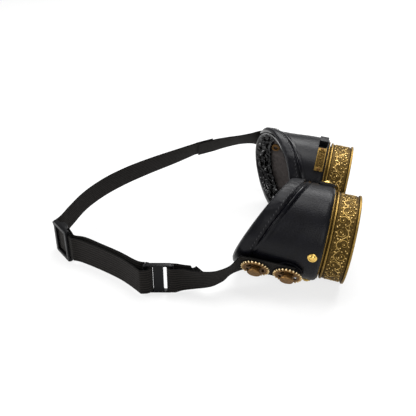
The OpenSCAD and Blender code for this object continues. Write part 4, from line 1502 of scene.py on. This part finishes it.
def makeRing():
    length, height, thick = s["ringLength"], s["ringHeight"], s["ringThickness"]
    slot = (length - 2 * s["ringBar"] - s["ringMiddleBar"]) / 2
    window = s["width"] + 1
    plate = roundedFrame("strapRing", length, height, thick, 3)
    for x, wider in ((-1, 1.0), (1, 0.5)):
        # the slots' outer sides are the round end bars, added below
        wide = slot + s["ringBar"] + 1 - wider
        middle = s["ringMiddleBar"] / 2 + (slot + s["ringBar"] + 1 + wider) / 2
        cut(plate, boxPiece("slotCutter", (wide, thick + 2, window), (x * middle, 0, 0), 0.6))
    pieces = [rounded(plate, 0.5, 40)]
    for x in (-1, 1):
        deselectAll()
        bpy.ops.mesh.primitive_cylinder_add(vertices=32, radius=s["ringBar"] / 2, depth=window + 1,
                                            location=(x * ringReach, 0, 0))
        pieces.append(applyPlace(bpy.context.object))
    ring = joined(pieces, "strapRing")
    return placedFlat(smoothed(ring, 40), s["ringCentre"], s["ringAngle"], ringZ)


def makeSlider():
    length, height = s["sliderLength"], s["sliderHeight"]
    rail = (height - s["width"] - 1) / 2
    outside = -(s["thickness"] / 2 + s["barGap"] + s["endBarThickness"])
    inside = s["thickness"] / 2 + s["barGap"] + 0.1
    deep = middleBarFace + s["middleBarThickness"]
    foot = s["middleBar"] / 2 + 0.6
    outline = [(-length / 2 + 1, outside), (length / 2 - 1, outside), (length / 2, outside + 0.9),
               (length / 2, inside), (foot + 2.2, inside), (foot, deep), (-foot, deep), (-foot - 2.2, inside),
               (-length / 2, inside), (-length / 2, outside + 0.9)]
    pieces = []
    for z in (-height / 2, height / 2 - rail):
        piece = rounded(prism("rail", outline, rail), 0.5)
        piece.data.transform(Matrix.Translation((0, 0, z)))
        pieces.append(piece)
    for x in (-1, 1):
        pieces.append(boxPiece("endBar", (s["endBar"], s["endBarThickness"], height - 1.2),
                               (x * (length - s["endBar"]) / 2, outside + s["endBarThickness"] / 2, 0), 0.5))
    pieces.append(boxPiece("middleBar", (s["middleBar"], s["middleBarThickness"], height - 1.2),
                           (0, barMid, 0), 0.45))
    slider = joined(pieces, "strapSlider")
    return placedFlat(smoothed(slider, 40), s["sliderCentre"], s["sliderAngle"], height / 2)


finishPiece(makeRing(), "plastic", "ring", "plastic", "strap_ring")
finishPiece(makeSlider(), "plastic", "slider", "plastic", "strap_slider")
print("ring and slider ready")


# Studio: pale floor, soft lamps, and the camera at the photograph's viewing angle
studio = {
    "distance": 0.450,
    "elevation": 33.0,
    "yaw": 13.3,
    "focalPixels": 652.5,
    "imagePixels": 416.0,
    "target": (4.0, -45.0, 49.4),
    "floorColour": "#ffffff",
    "floorGlow": 0.75,
    "floorLit": 0.1,
    "mirrored": 0.25,
    "worldStrength": 0.15,
    # where each lamp stands, what it is aimed at, its two sides and its watts
    "lamps": {
        "topLamp": ((0.05, 0.1, 0.75), (0.0, 0.0, 0.0), (0.5, 0.3), 3.5),
        "frontLamp": ((0.35, -0.75, 0.45), (0.03, 0.0, 0.03), (0.5, 0.5), 2.6),
        "leftLamp": ((-0.7, -0.2, 0.4), (0.0, 0.0, 0.03), (0.3, 0.6), 4.5),
        "rearLamp": ((0.15, 0.55, 0.6), (0.03, 0.0, 0.03), (0.7, 0.3), 6.0),
    },
}


def makeCamera(settings):
    data = bpy.data.cameras.new("camera")
    camera = bpy.data.objects.new("camera", data)
    bpy.context.collection.objects.link(camera)
    data.sensor_fit = "HORIZONTAL"
    data.sensor_width = 36
    data.lens = 36 * settings["focalPixels"] / settings["imagePixels"]
    data.clip_start = 0.01
    turn = turned("Z", settings["yaw"])
    elevation = math.radians(settings["elevation"])
    forward = turn @ Vector((0, math.cos(elevation), -math.sin(elevation)))
    target = (Vector(settings["target"]) + shift) * mm
    camera.location = target - forward * settings["distance"]
    camera.rotation_euler = forward.to_track_quat("-Z", "Y").to_euler()
    bpy.context.scene.camera = camera


def softLamp(name, place, target, size, power):
    deselectAll()
    bpy.ops.object.light_add(type="AREA", location=place)
    lamp = bpy.context.object
    lamp.name = name
    lamp.data.shape = "RECTANGLE"
    lamp.data.size, lamp.data.size_y = size
    lamp.data.energy = power
    lamp.rotation_euler = (Vector(target) - Vector(place)).to_track_quat("-Z", "Y").to_euler()


def brightness(owner, lit, seen, settings):
    # "seen" where the camera looks, or looks through the lenses; less for what metal mirrors;
    # "lit" is what it gives as light
    rays = addNode(owner, "ShaderNodeLightPath").outputs
    clear = addNode(owner, "ShaderNodeMath", {0: rays["Is Camera Ray"], 1: rays["Is Transmission Ray"]},
                    operation="MAXIMUM")
    share = addNode(owner, "ShaderNodeMath", {0: rays["Is Glossy Ray"], 1: settings["mirrored"],
                                              2: clear.outputs[0]},
                    operation="MULTIPLY_ADD", use_clamp=True)
    level = addNode(owner, "ShaderNodeMapRange", {"Value": share.outputs[0], "To Min": lit, "To Max": seen})
    return level.outputs["Result"]


def makeFloor(settings):
    deselectAll()
    bpy.ops.mesh.primitive_plane_add(size=6, location=(0, 0, -0.0002))
    floor = bpy.context.object
    floor.name = "studioFloor"
    material, surface = newMaterial("paleStudioFloor", settings["floorColour"], 0.9,
                                    **{"Specular IOR Level": 0.1})
    glow = addNode(material, "ShaderNodeEmission", {"Color": (1, 1, 1, 1), "Strength": 1.0})
    share = brightness(material, settings["floorLit"], settings["floorGlow"], settings)
    mix = addNode(material, "ShaderNodeMixShader", {0: share, 1: surface.outputs[0], 2: glow.outputs[0]})
    material.node_tree.links.new(mix.outputs[0], material.node_tree.nodes["Material Output"].inputs["Surface"])
    floor.data.materials.append(material)


def makeWorld(settings):
    world = bpy.data.worlds.new("studioWorld")
    bpy.context.scene.world = world
    world.use_nodes = True
    background = world.node_tree.nodes["Background"]
    background.inputs["Color"].default_value = (1, 1, 1, 1)
    world.node_tree.links.new(brightness(world, settings["worldStrength"], 1.0, settings),
                              background.inputs["Strength"])


bpy.context.scene.view_settings.view_transform = "Standard"
makeCamera(studio)
makeFloor(studio)
makeWorld(studio)
for name, (place, target, size, power) in studio["lamps"].items():
    softLamp(name, place, target, size, power)
print("studio ready")
